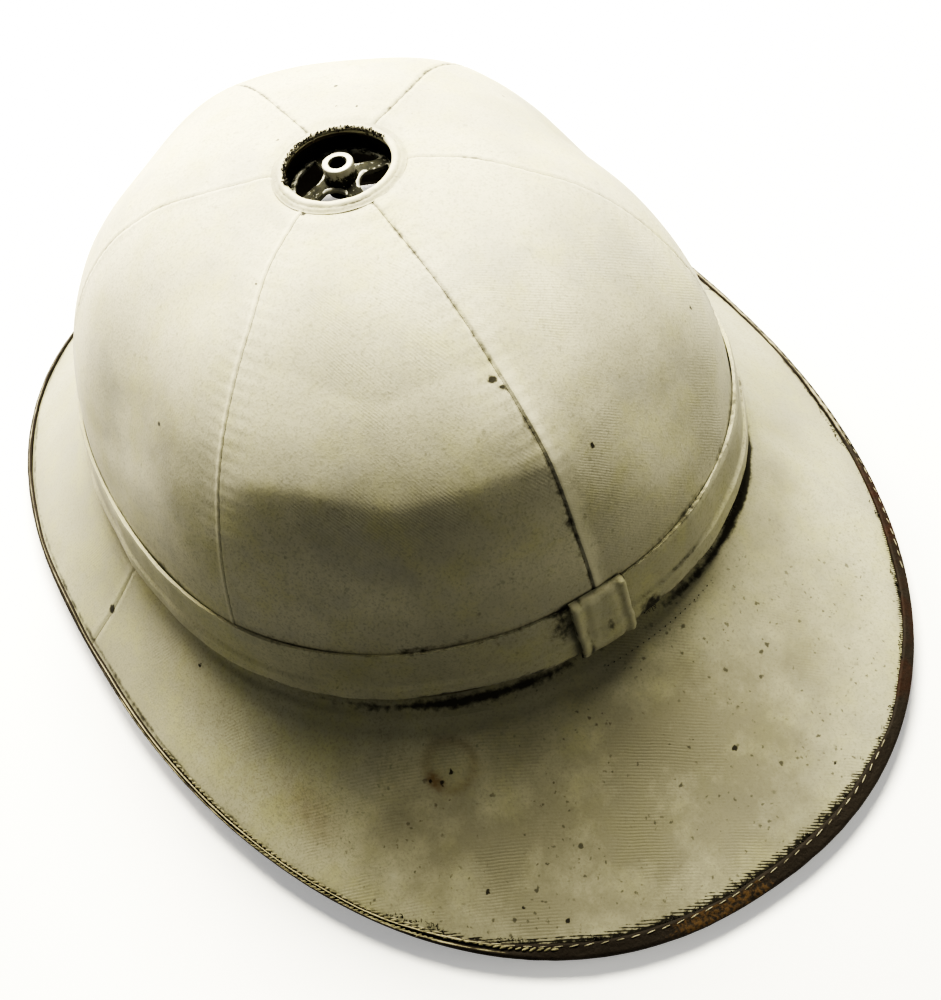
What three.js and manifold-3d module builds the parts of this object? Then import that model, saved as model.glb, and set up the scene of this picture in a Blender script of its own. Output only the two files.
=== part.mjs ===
// A cloth-covered sun helmet: a moulded shell with crown and brim in one, six cloth crown gores,
// a two-piece brim cloth, a leather edge binding, a folded band with its keeper loop, and a top
// vent with a cloth ring and a metal spider.
//
// Millimetres, +Z up, the wearer's front toward -Y. It stands on its brim edge at Z = 0.
// Angles round the helmet start at the middle of the rear (+Y) and run toward +X.
import * as THREE from 'three'
import * as BufferGeometryUtils from 'three/addons/utils/BufferGeometryUtils.js'
import Module from 'manifold-3d'

// Brim outline: half width, and its reach behind and before the vent axis
const BRIM_HALF_WIDTH = 132
const BRIM_REAR_REACH = 201
const BRIM_FRONT_REACH = 169
const BRIM_REAR_POWER = 2.24
const BRIM_FRONT_POWER = 2.46

// The vent axis stands in front of the middle of the brim's length; the steep front rim leans out
const FRONT_RIM_LEAN = 0.2
const AXIS_Y = (BRIM_FRONT_REACH - BRIM_REAR_REACH) / 2 + FRONT_RIM_LEAN

// Height of the cloth at the brim edge; the sides arch a little above the floor
const EDGE_HEIGHT = 4.4
const SIDE_ARCH = 3

// Crown: half width and half length at the foot, top height, foot heights
const CROWN_HALF_WIDTH = 103.5
const CROWN_HALF_LENGTH = 121.5
const CROWN_MEAN_RADIUS = Math.sqrt(CROWN_HALF_WIDTH * CROWN_HALF_LENGTH)
const CROWN_TOP = 143
const FOOT_REAR = 40.5
const FOOT_FRONT = 48.5
const FOOT_SIDE = 35
const CROWN_PLAN_POWER = 2.18
const CROWN_SHOULDER_POWER = 2.64
const CROWN_DOME_POWER = 2.1
const PANEL_FLATNESS = 0.055

// Shell and cloth thickness, and the clearance between neighbouring pieces
const CLOTH = 0.8
const CLEARANCE = 0.3
const CROWN_WALL = 7
const BRIM_WALL_AT_FOOT = 5
const BRIM_WALL_AT_EDGE = 2.5
const BRIM_SAG = 0.035

// Edge binding
const BINDING_LEATHER = 1
const BINDING_LIP = 5

// Band and keeper loop
const BAND_HEIGHT = 20
const BAND_FOOT = 1
const BAND_CLOTH = 1.2
const BAND_FOLD_HEIGHT = 8
const BAND_CLEARANCE = 0.4
const LOOP_WIDTH = 22
const LOOP_CLOTH = 1.2

// Vent
const VENT_RADIUS = 16
const VENT_RING_OUTER = 20.5
const VENT_RING_HEIGHT = 1.4
const SPIDER_DEPTH = 6
const SPIDER_THICKNESS = 1.6
const SPIDER_RIM = 1.6
const SPIDER_SPOKES = 4
const SPOKE_WIDTH = 4.4
const SPIDER_HUB_RADIUS = 6.2
const BOSS_RADIUS = 4.7
const BOSS_BORE = 2.6
const BOSS_ABOVE_CROWN = 1.4

// Faceting: steps round the helmet, and round the vent
const STEPS = 60
const VENT_STEPS = 40
const PANELS = 6

const TURN = 2 * Math.PI
const UP = new THREE.Vector3(0, 0, 1)

// A point of a rounded oval of unit half width and unit half length, as [toward +X, toward the rear]
function oval(angle, power) {
  const side = Math.sin(angle)
  const rear = Math.cos(angle)
  const size = (Math.abs(side) ** power + Math.abs(rear) ** power) ** (-1 / power)
  return [side * size, rear * size]
}

function smooth(value, low, high) {
  const t = THREE.MathUtils.clamp((value - low) / (high - low), 0, 1)
  return t * t * (3 - 2 * t)
}

function footHeight(angle) {
  const rear = Math.cos(angle)
  const end = rear > 0 ? FOOT_REAR : FOOT_FRONT
  return end * rear * rear + FOOT_SIDE * (1 - rear * rear)
}

// A point of the crown's cloth: rise 0 is the foot and rise 90 degrees the top. The oval plan
// turns round toward the vent, and each panel is flatter than the dome between its two seams.
function crownSurface(rise, angle) {
  const round = smooth(rise, 1.1, 1.4)
  const [side, rear] = oval(angle, CROWN_PLAN_POWER)
  const reachX = THREE.MathUtils.lerp(CROWN_HALF_WIDTH * side, CROWN_MEAN_RADIUS * Math.sin(angle), round)
  const reachY = THREE.MathUtils.lerp(CROWN_HALF_LENGTH * rear, CROWN_MEAN_RADIUS * Math.cos(angle), round)
  const shrink = Math.max(Math.cos(rise), 0) ** (2 / CROWN_SHOULDER_POWER)
  const planX = Math.abs(reachX * shrink / CROWN_HALF_WIDTH) ** CROWN_PLAN_POWER
  const planY = Math.abs(reachY * shrink / CROWN_HALF_LENGTH) ** CROWN_PLAN_POWER
  const reach = (planX + planY) ** (1 / CROWN_PLAN_POWER)
  const slope = Math.acos(Math.min(reach ** (CROWN_SHOULDER_POWER / 2), 1))
  const lift = Math.sin(slope) ** (2 / CROWN_DOME_POWER)
  const between = (1 - Math.cos(PANELS * angle)) / 2
  const flat = 1 - PANEL_FLATNESS * between * Math.sin(2 * slope) ** 2
  const foot = footHeight(angle)
  const z = foot + (CROWN_TOP - foot) * lift
  return new THREE.Vector3(reachX * shrink * flat, AXIS_Y + reachY * shrink * flat, z)
}

// A point of the brim's top cloth: across 0 is the crown's foot and across 1 the edge
function brimSurface(across, angle) {
  const foot = crownSurface(0, angle)
  const behind = Math.cos(angle) > 0
  const [side, rear] = oval(angle, behind ? BRIM_REAR_POWER : BRIM_FRONT_POWER)
  const reach = behind ? BRIM_REAR_REACH : BRIM_FRONT_REACH
  const arch = SIDE_ARCH * Math.sin(angle) ** 2
  const edge = new THREE.Vector3(BRIM_HALF_WIDTH * side, AXIS_Y + reach * rear, EDGE_HEIGHT + arch)
  const width = foot.distanceTo(edge)
  const point = foot.lerp(edge, across)
  point.z -= BRIM_SAG * width * Math.sin(Math.PI * THREE.MathUtils.clamp(across, 0, 1))
  return point
}

function brimWidth(angle) {
  return brimSurface(0, angle).distanceTo(brimSurface(1, angle))
}

// The point of a surface moved off it along its outward normal
function offsetPoint(surface, along, angle, distance) {
  const step = 0.004
  const alongBefore = Math.max(along - step, 0.001)
  const ahead = surface(along + step, angle).sub(surface(alongBefore, angle))
  const round = surface(along, angle + step).sub(surface(along, angle - step))
  const normal = round.cross(ahead).normalize()
  if (normal.z < 0) normal.negate()
  return surface(along, angle).addScaledVector(normal, distance)
}

const crownPoint = (rise, angle, off) => offsetPoint(crownSurface, rise, angle, off)
const brimPoint = (across, angle, off) => offsetPoint(brimSurface, across, angle, off)

// The point of the brim that lies a distance in from its edge
function brimFromEdge(distance, angle, off) {
  return brimPoint(1 - distance / brimWidth(angle), angle, off)
}

// The rise at which the crown stands a height above its foot
function riseAtHeight(height, angle) {
  const foot = footHeight(angle)
  const lift = height / (CROWN_TOP - foot)
  return Math.asin(lift ** (CROWN_DOME_POWER / 2))
}

// The mean radius of the crown at a rise, which is exact where the plan is round, and its inverse
const radiusAtRise = (rise) => CROWN_MEAN_RADIUS * Math.cos(rise) ** (2 / CROWN_SHOULDER_POWER)
const riseAtRadius = (radius) => Math.acos((radius / CROWN_MEAN_RADIUS) ** (CROWN_SHOULDER_POWER / 2))

function anglesBetween(start, end, steps) {
  return Array.from({ length: steps + 1 }, (_, i) => start + (end - start) * i / steps)
}

const FULL_TURN = anglesBetween(0, TURN, STEPS).slice(0, -1)

// A closed solid swept through cross-sections, each a loop of points. An open sweep gets end caps,
// which pair the loop's first half (one face) with its second half (the other face, run back).
function sweep(sections, closed) {
  const count = sections[0].length
  const faces = []
  const points = sections.flat()
  // Each four-sided facet is split along its shorter diagonal, so that parallel faces match
  const quad = (a, b, c, d) => {
    const split = points[a].distanceTo(points[c]) <= points[b].distanceTo(points[d])
    faces.push(...(split ? [a, b, c, a, c, d] : [a, b, d, b, c, d]))
  }
  const spans = closed ? sections.length : sections.length - 1
  for (let s = 0; s < spans; s += 1) {
    const next = (s + 1) % sections.length
    for (let i = 0; i < count; i += 1) {
      const j = (i + 1) % count
      quad(s * count + i, s * count + j, next * count + j, next * count + i)
    }
  }
  if (!closed) {
    const last = (sections.length - 1) * count
    for (let i = 0; i < count / 2 - 1; i += 1) {
      const back = count - 1 - i
      quad(i, back, back - 1, i + 1)
      quad(last + i, last + i + 1, last + back - 1, last + back)
    }
  }
  const geometry = new THREE.BufferGeometry().setFromPoints(points)
  geometry.setIndex(enclosedVolume(points, faces) < 0 ? faces.reverse() : faces)
  return geometry
}

function enclosedVolume(points, faces) {
  let volume = 0
  for (let f = 0; f < faces.length; f += 3) {
    const [a, b, c] = faces.slice(f, f + 3).map((index) => points[index])
    volume += a.dot(b.clone().cross(c)) / 6
  }
  return volume
}

// A sheet between two faces, each given as a list of points
const thick = (outer, inner) => [...outer, ...inner.slice().reverse()]

function shellBody() {
  const top = -(CLOTH + CLEARANCE)
  const inner = top - CROWN_WALL
  const brimInset = BINDING_LEATHER + CLEARANCE
  const footRise = 0.03
  const holeRise = riseAtRadius(VENT_RADIUS + CLEARANCE)
  const outerRises = [footRise, 0.17, 0.34, 0.52, 0.72, 0.92, 1.1, 1.26, 1.38, 1.44]
  const innerRises = [1.38, 1.2, 1.0, 0.76, 0.5, 0.26, footRise]
  const underCorner = 4.5
  const sections = FULL_TURN.map((angle) => {
    const holeTop = crownPoint(holeRise, angle, top)
    const holeBottom = crownPoint(holeRise, angle, inner)
    holeBottom.x = holeTop.x
    holeBottom.y = holeTop.y
    const width = brimWidth(angle)
    return [
      brimFromEdge(brimInset, angle, top),
      ...[0.8, 0.6, 0.4, 0.2].map((across) => brimPoint(across, angle, top)),
      brimFromEdge(width + 0.5, angle, top),
      ...outerRises.map((rise) => crownPoint(rise, angle, top)),
      holeTop,
      holeBottom,
      ...innerRises.map((rise) => crownPoint(rise, angle, inner)),
      brimFromEdge(width + underCorner, angle, top - BRIM_WALL_AT_FOOT),
      ...[0.35, 0.7].map((across) => {
        const wall = THREE.MathUtils.lerp(BRIM_WALL_AT_FOOT, BRIM_WALL_AT_EDGE, across)
        return brimPoint(across, angle, top - wall)
      }),
      brimFromEdge(brimInset, angle, top - BRIM_WALL_AT_EDGE)
    ]
  })
  return sweep(sections, true)
}

// One cloth gore, from the seam at its start to the next seam
function crownPanel(index) {
  const pitch = TURN / PANELS
  const start = index * pitch
  const steps = STEPS / PANELS
  const angles = anglesBetween(start, start + pitch, steps)
  const turnIn = angles.map((_, i) => Math.sign((i === 0) - (i === steps)))
  const ventRise = riseAtRadius(VENT_RADIUS + 2 * CLEARANCE)
  const footClear = 1.5
  const sections = angles.map((angle, i) => {
    const rises = [riseAtHeight(footClear, angle), 0.17, 0.34, 0.52, 0.72, 0.92, 1.1, 1.26, 1.38, ventRise]
    const face = (off) => rises.map((rise) => {
      return crownPoint(rise, angle + turnIn[i] * CLEARANCE / 2 / radiusAtRise(rise), off)
    })
    return thick(face(0), face(-CLOTH))
  })
  return sweep(sections, false)
}

// Half of the brim's top cloth, between the two side seams
function brimCloth(start) {
  const seamGap = CLEARANCE / 2 / BRIM_HALF_WIDTH
  const angles = anglesBetween(start + seamGap, start + Math.PI - seamGap, STEPS / 2)
  const brimInset = BINDING_LEATHER + CLEARANCE
  const sections = angles.map((angle) => {
    const edge = 1 - brimInset / brimWidth(angle)
    const acrosses = [0, 0.2, 0.4, 0.6, 0.8, edge]
    const outer = acrosses.map((across) => brimPoint(across, angle, 0))
    const inner = acrosses.map((across) => brimPoint(across, angle, -CLOTH))
    return thick(outer, inner)
  })
  return sweep(sections, false)
}

// Leather folded round the edge, over the brim's cloth and under the shell
function brimBinding() {
  const over = CLEARANCE
  const under = -(CLOTH + CLEARANCE + BRIM_WALL_AT_EDGE + CLEARANCE)
  const lip = BINDING_LEATHER + BINDING_LIP
  const round = 0.8
  const taper = (BRIM_WALL_AT_FOOT - BRIM_WALL_AT_EDGE)
  const sections = FULL_TURN.map((angle) => {
    const drop = taper * lip / brimWidth(angle)
    const outer = [
      brimFromEdge(lip, angle, over + BINDING_LEATHER * 0.8),
      brimFromEdge(round, angle, over + BINDING_LEATHER),
      brimFromEdge(0, angle, over - round),
      brimFromEdge(0, angle, under + round),
      brimFromEdge(round, angle, under - BINDING_LEATHER),
      brimFromEdge(lip, angle, under - BINDING_LEATHER - drop)
    ]
    const inner = [
      brimFromEdge(lip, angle, over),
      brimFromEdge(BINDING_LEATHER, angle, over),
      brimFromEdge(BINDING_LEATHER, angle, under),
      brimFromEdge(lip, angle, under - drop)
    ]
    return thick(outer, inner)
  })
  return sweep(sections, true)
}

// The band's outer face: two layers of cloth, folded so that the lower one stands out
const BAND_PROFILE = [
  { height: BAND_FOOT, layers: 1.7 },
  { height: BAND_FOOT + 2, layers: 2 },
  { height: BAND_FOLD_HEIGHT, layers: 1.9 },
  { height: BAND_FOLD_HEIGHT + 1, layers: 1.2 },
  { height: BAND_FOOT + BAND_HEIGHT, layers: 1 }
]

const bandPoint = (height, angle, off) => crownPoint(riseAtHeight(height, angle), angle, BAND_CLEARANCE + off)

function hatBand() {
  const sections = FULL_TURN.map((angle) => {
    const outer = BAND_PROFILE.map(({ height, layers }) => bandPoint(height, angle, BAND_CLOTH * layers))
    const innerHeights = [BAND_FOOT, BAND_FOLD_HEIGHT - 2, BAND_HEIGHT - 6, BAND_FOOT + BAND_HEIGHT]
    return thick(outer, innerHeights.map((height) => bandPoint(height, angle, 0)))
  })
  return sweep(sections, true)
}

// The keeper at the rear, folded over the band's top edge
function bandLoop() {
  const half = LOOP_WIDTH / 2 / CROWN_HALF_LENGTH
  const top = BAND_FOOT + BAND_HEIGHT
  const sections = anglesBetween(-half, half, 6).map((angle) => {
    const inner = [
      ...BAND_PROFILE.map(({ height, layers }) => bandPoint(height, angle, BAND_CLOTH * layers + CLEARANCE)),
      bandPoint(top + CLEARANCE, angle, BAND_CLOTH),
      bandPoint(top + CLEARANCE, angle, 0)
    ]
    const outer = [
      ...BAND_PROFILE.map(({ height, layers }) => {
        return bandPoint(height, angle, BAND_CLOTH * layers + CLEARANCE + LOOP_CLOTH)
      }),
      bandPoint(top + CLEARANCE + LOOP_CLOTH, angle, BAND_CLOTH + LOOP_CLOTH),
      bandPoint(top + CLEARANCE + LOOP_CLOTH, angle, 0)
    ]
    return thick(outer, inner)
  })
  return sweep(sections, false)
}

// The cloth-covered ring on the panels' tips
function ventRing() {
  const middle = (VENT_RADIUS + VENT_RING_OUTER) / 2
  const point = (radius, angle, off) => crownPoint(riseAtRadius(radius), angle, CLEARANCE + off)
  const sections = anglesBetween(0, TURN, VENT_STEPS).slice(0, -1).map((angle) => {
    const outer = [
      point(VENT_RADIUS, angle, VENT_RING_HEIGHT * 0.7),
      point(middle, angle, VENT_RING_HEIGHT),
      point(VENT_RING_OUTER, angle, VENT_RING_HEIGHT * 0.5)
    ]
    const inner = [VENT_RADIUS, middle, VENT_RING_OUTER].map((radius) => point(radius, angle, 0))
    return thick(outer, inner)
  })
  return sweep(sections, true)
}

// The opening between two spokes, with a hollow curve round the hub
function spiderWindow(angle) {
  const rim = VENT_RADIUS - SPIDER_RIM
  const lean = Math.asin(SPOKE_WIDTH / 2 / rim)
  const pitch = TURN / SPIDER_SPOKES
  const hubLean = Math.asin(SPOKE_WIDTH / 2 / SPIDER_HUB_RADIUS)
  const path = new THREE.Path()
  const at = (radius, turn) => [radius * Math.cos(turn), radius * Math.sin(turn)]
  path.moveTo(...at(rim, angle + lean))
  path.absarc(0, 0, rim, angle + lean, angle + pitch - lean, false)
  path.lineTo(...at(SPIDER_HUB_RADIUS + 1, angle + pitch - hubLean))
  path.quadraticCurveTo(...at(SPIDER_HUB_RADIUS - 1, angle + pitch / 2), ...at(SPIDER_HUB_RADIUS + 1, angle + hubLean))
  path.closePath()
  return path
}

// The metal spider: a ring with four spokes, and a hollow boss that the cap screws into
async function ventSpider() {
  const plateTop = CROWN_TOP - SPIDER_DEPTH
  const bossTop = CROWN_TOP + BOSS_ABOVE_CROWN
  const plate = new THREE.Shape()
  plate.absarc(0, 0, VENT_RADIUS, 0, TURN, false)
  for (let spoke = 0; spoke < SPIDER_SPOKES; spoke += 1) {
    plate.holes.push(spiderWindow(spoke * TURN / SPIDER_SPOKES))
  }
  const settings = { depth: SPIDER_THICKNESS, bevelEnabled: false, curveSegments: 8 }
  const plateGeometry = new THREE.ExtrudeGeometry(plate, settings)
  plateGeometry.translate(0, 0, plateTop - SPIDER_THICKNESS)
  const low = plateTop - SPIDER_THICKNESS - 1
  const bossProfile = [
    new THREE.Vector2(BOSS_BORE, low),
    new THREE.Vector2(BOSS_RADIUS, low),
    new THREE.Vector2(BOSS_RADIUS, bossTop),
    new THREE.Vector2(BOSS_BORE, bossTop),
    new THREE.Vector2(BOSS_BORE, low)
  ]
  const steps = 24
  const boss = new THREE.LatheGeometry(bossProfile, steps).rotateX(Math.PI / 2)
  const boreHalf = SPIDER_DEPTH + 4
  const bore = new THREE.CylinderGeometry(BOSS_BORE, BOSS_BORE, 2 * boreHalf, steps).rotateX(Math.PI / 2)
  bore.translate(0, 0, plateTop)
  const wasm = await Module()
  wasm.setup()
  const solid = (geometry) => {
    const bare = geometry.clone()
    bare.deleteAttribute('normal')
    bare.deleteAttribute('uv')
    const merged = BufferGeometryUtils.mergeVertices(bare, 1e-4)
    const vertProperties = new Float32Array(merged.attributes.position.array)
    const triVerts = new Uint32Array(merged.index.array)
    return new wasm.Manifold(new wasm.Mesh({ numProp: 3, vertProperties, triVerts }))
  }
  const joined = solid(plateGeometry).subtract(solid(bore)).add(solid(boss)).getMesh()
  const geometry = new THREE.BufferGeometry()
  geometry.setAttribute('position', new THREE.Float32BufferAttribute(joined.vertProperties, 3))
  geometry.setIndex(Array.from(joined.triVerts))
  geometry.translate(0, AXIS_Y, 0)
  return geometry
}

const look = (color, roughness, metalness) => new THREE.MeshStandardMaterial({ color, roughness, metalness })

const crownCloth = look(0xd7d0c0, 0.92, 0)
const brimTopCloth = look(0xc3bfa2, 0.93, 0)
const bandCloth = look(0xa9a48e, 0.93, 0)
const bindingLeather = look(0x2c221a, 0.6, 0)
const pith = look(0x9c8f74, 0.95, 0)
const paintedMetal = look(0x77765c, 0.5, 0.6)

const helmet = new THREE.Group()

function addPiece(name, geometry, material) {
  const mesh = new THREE.Mesh(geometry, material)
  mesh.name = name
  helmet.add(mesh)
}

addPiece('shell_body', shellBody(), pith)
for (let index = 0; index < PANELS; index += 1) {
  addPiece(`crown_panel_${index + 1}`, crownPanel(index), crownCloth)
}
addPiece('brim_cloth_rear', brimCloth(-Math.PI / 2), brimTopCloth)
addPiece('brim_cloth_front', brimCloth(Math.PI / 2), brimTopCloth)
addPiece('brim_binding', brimBinding(), bindingLeather)
addPiece('hat_band', hatBand(), bandCloth)
addPiece('band_loop', bandLoop(), bandCloth)
addPiece('vent_ring', ventRing(), crownCloth)
addPiece('vent_spider', await ventSpider(), paintedMetal)

export default helmet
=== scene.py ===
import math

import bpy
import numpy as np
from bpy.props import FloatProperty, FloatVectorProperty, PointerProperty
from mathutils import Matrix, Vector
from mathutils.geometry import delaunay_2d_cdt


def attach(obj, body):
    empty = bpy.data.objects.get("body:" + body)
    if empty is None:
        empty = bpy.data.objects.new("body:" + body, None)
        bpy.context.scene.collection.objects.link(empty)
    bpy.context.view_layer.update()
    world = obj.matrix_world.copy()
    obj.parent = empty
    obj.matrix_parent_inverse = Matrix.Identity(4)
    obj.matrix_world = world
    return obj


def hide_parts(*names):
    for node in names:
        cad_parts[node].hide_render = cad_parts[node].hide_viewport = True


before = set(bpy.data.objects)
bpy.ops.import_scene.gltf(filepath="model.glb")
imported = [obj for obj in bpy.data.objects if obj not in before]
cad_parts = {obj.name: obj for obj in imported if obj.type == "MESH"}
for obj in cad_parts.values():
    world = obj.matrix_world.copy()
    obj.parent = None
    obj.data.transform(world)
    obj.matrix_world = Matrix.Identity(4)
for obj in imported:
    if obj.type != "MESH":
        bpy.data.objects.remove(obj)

bl_info = {
    "name": "Sun helmet",
    "version": (1, 0, 0),
    "blender": (4, 5, 0),
    "location": "View3D > Sidebar > Helmet",
    "description": "Builds a cloth-covered sun helmet, piece by piece",
    "category": "Add Mesh",
}

MM = 0.001
TURN = 2 * math.pi

# Roundness of the ovals: brim behind and before the sides, crown in plan, shoulder and dome
BRIM_REAR_POWER = 2.24
BRIM_FRONT_POWER = 2.46
CROWN_PLAN_POWER = 2.18
CROWN_SHOULDER_POWER = 2.64
CROWN_DOME_POWER = 2.1

# How flat a gore is at its middle and how far the brim sags, as shares of the whole
PANEL_FLATNESS = 0.055
BRIM_SAG = 0.035

PANELS = 6
DIAGONAL = 0.7071
JITTER = 2.0 * MM
BAND_BASE = 0.4 * MM
BAND_CLOTH = 1.2 * MM
BINDING_LEATHER = 1.0 * MM
BINDING_TOP_ROWS = 15
BINDING_SEEN_ROWS = 26
BOSS_RISE = 1.4 * MM
HUB_RISE = 2.0 * MM

# One row for each crown seam, in mm: ridge on the side of rising angles, ridge on the other side,
# how far the ridges lie from the seam, depth of the groove, and how dirty it is from 0 to 1
CROWN_SEAMS = [
    (0.06, 0.06, 1.2, 0.16, 0.78),
    (0.26, 0.04, 0.7, 0.08, 0.14),
    (0.1, 0.14, 1.2, 0.14, 0.5),
    (0.14, 0.12, 1.4, 0.2, 0.8),
    (0.12, 0.16, 1.4, 0.2, 0.72),
    (0.1, 0.12, 1.2, 0.14, 0.45),
]

# Height in mm of the crown's shoulder at angles in degrees, where the rear gore turns steep
SHOULDER_ANGLES = (-10, 0, 9, 17, 27, 35, 45, 60)
SHOULDER_HEIGHTS = (104, 104, 105, 103.5, 101.4, 103.5, 107, 107)
SHOULDER_CREST = 3.0 * MM

# Smudges on the crown: x, y, z and reach in mm, and strength from 0 to 1
CROWN_SMUDGES = [
    (24, 76, 109, 20, 0.6),
    (50, 58, 110, 18, 0.55),
    (8, 82, 106, 12, 0.6),
    (3, 81, 110, 6, 0.4),
    (-12, 84, 100, 10, 0.75),
    (-14, 92, 86, 9, 0.6),
    (-5, 89, 98, 5, 0.5),
    (-36, 76, 98, 11, 0.75),
    (-48, 70, 96, 10, 0.65),
    (-27, 75, 108, 7, 0.6),
    (-37, 62, 115, 7, 0.35),
    (-57, 57, 106, 8, 0.45),
    (-46, 84, 80, 10, 0.75),
    (-58, 74, 80, 10, 0.7),
    (-66, 64, 84, 9, 0.5),
    (68, 42, 109, 9, 0.55),
    (81, 4, 104, 13, 1.0),
    (84, 14, 100, 10, 0.9),
    (76, 28, 92, 16, 0.45),
    (24, 21, 139, 8, 0.2),
]

# Dark patches on the brim, in the same columns: partly grime and partly painted shade
BRIM_GRIME_AND_SHADE = [
    (-4, 146, 19, 27, 1.0),
    (20, 150, 16, 22, 0.6),
    (-30, 141, 20, 15, 0.6),
    (52, 155, 11, 20, 0.8),
    (28, 161, 12, 14, 0.4),
    (76, 118, 17, 20, 0.75),
    (46, 128, 23, 16, 0.4),
    (71, 142, 11, 14, 0.35),
    (-17, 167, 10, 12, 0.25),
    (-59, 134, 17, 14, 0.5),
    (-44, 108, 32, 10, 0.25),
    (-60, 104, 26, 9, 0.35),
    (-72, 95, 27, 7, 0.55),
    (-83, 83, 28, 7, 0.6),
    (-96, 66, 26, 10, 0.25),
    (-74, 120, 18, 12, 0.3),
    (109, 40, 22, 12, 0.12),
]

# Places in mm: the shallow dent in the crown, and the ring, the dark mark and the brown patch on the brim
CROWN_DENT = (-76.5, -16, 110)
RING_STAIN = (58.3, 109, 28.5)
DARK_STAIN = (64.1, 109.3, 26.1)
BROWN_STAIN = (99.3, 90.3, 16.2)

# Small chips and dark dots: x, y, z, radius, all in mm
CHIPS = [
    (81.2, 4.0, 104.3, 0.9),
    (-71.8, 55.5, 92.2, 0.8),
    (-68.5, 56.5, 94.2, 0.7),
    (2.1, 67.9, 122.3, 1.5),
    (0.9, 70.6, 120.2, 1.3),
    (-15.4, 86.8, 99.2, 0.8),
    (119.4, -16.6, 18.3, 1.4),
    (59.0, 110.5, 27.3, 0.75),
    (63.0, 111.0, 26.0, 0.9),
    (65.4, 108.6, 25.9, 0.7),
    (-19.1, -54.0, 139.8, 0.55),
    (-13.6, -42.2, 141.9, 0.45),
    (-18.3, -37.9, 141.9, 0.5),
    (8.3, -39.8, 142.3, 0.6),
    (17.8, -4.6, 142.4, 0.85),
    (40.6, 6.6, 137.6, 0.5),
    (-65.6, -33.2, 123.3, 0.5),
    (55.1, -18.5, 131.6, 0.45),
    (73.1, -23.1, 114.8, 0.45),
    (40.4, 80.4, 92.0, 0.6),
    (61.6, 67.7, 89.1, 0.45),
    (-15.0, 148.6, 17.7, 1.0),
    (-31.9, 153.4, 14.4, 0.75),
    (-38.2, 166.0, 9.1, 0.75),
    (38.3, 152.2, 14.2, 0.75),
    (49.7, 145.8, 14.7, 0.75),
    (68.2, 141.7, 12.0, 0.7),
    (61.9, 150.9, 10.3, 0.6),
    (53.7, 161.0, 8.6, 0.8),
    (104.7, 30.6, 28.6, 0.6),
]

# Stitches and cords on the binding: first and last angle in degrees, points on the path, then in mm
# the distance from the edge, height over the leather, pitch, length and thickness, then spread, lean,
# seed and thread
SEWN_ROWS = {
    "binding_stitches_rear": (-24.0, 44.0, 500, 4.2, 0.05, 4.4, 3.0, 0.42, 0.08, 0.1, 5, "pale"),
    "binding_stitches_right": (-158.0, -48.0, 500, 1.9, 0.05, 4.4, 3.0, 0.42, 0.08, 0.1, 5, "pale"),
    "binding_cord_outer": (40.0, 62.0, 400, 1.3, 0.0, 1.7, 2.2, 0.75, 0.3, 0.3, 3, "cord"),
    "binding_cord_inner": (27.0, 74.0, 400, 3.4, 0.0, 2.1, 2.3, 0.75, 0.3, 0.3, 3, "cord"),
}

# Frayed stretches of the band's lower edge: first and last angle in degrees, pitch and length in mm
BAND_FRAYS = {
    "frayed_band_right": (-36.0, -29.0, 0.35, 2.6),
    "frayed_band_by_loop": (-9.6, -7.4, 0.35, 2.2),
    "frayed_band_low": (-24.0, -21.5, 0.4, 1.8),
}


def smooth(value, low, high):
    """A soft step from 0 at low to 1 at high."""
    t = np.clip((value - low) / (high - low), 0, 1)
    return t * t * (3 - 2 * t)


def bell(value, middle, width):
    """A soft bump of height 1 round a middle."""
    return np.exp(-0.5 * ((value - middle) / width) ** 2)


def mix(a, b, share):
    """The value a share of the way from a to b."""
    return a + (b - a) * share


def round_angles(steps):
    """Even angles once round the helmet."""
    return np.linspace(0, TURN, steps + 1)[:-1]


def in_degrees(angle):
    """Angles in degrees, from -180 to 180, with 0 at the rear."""
    return np.degrees((angle + math.pi) % TURN - math.pi)


def distance_to(points, place):
    """How far in mm points lie from a place given in mm."""
    return np.linalg.norm(points - np.array(place) * MM, axis=-1) / MM


def oval(angle, power):
    """A point of a rounded oval of unit half width and unit half length."""
    side = np.sin(angle)
    rear = np.cos(angle)
    size = (np.abs(side) ** power + np.abs(rear) ** power) ** (-1 / power)
    return side * size, rear * size


def lumps(points, size, height, seed, waves=18):
    """Soft lumps of a given size and height over a set of points."""
    rng = np.random.default_rng(seed)
    total = np.zeros(points.shape[:-1])
    for _ in range(waves):
        way = rng.normal(size=3)
        way /= np.linalg.norm(way)
        pitch = size * rng.uniform(0.7, 1.8)
        total += np.sin(points @ way * TURN / pitch + rng.uniform(0, TURN))
    return total * height / math.sqrt(waves)


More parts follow.
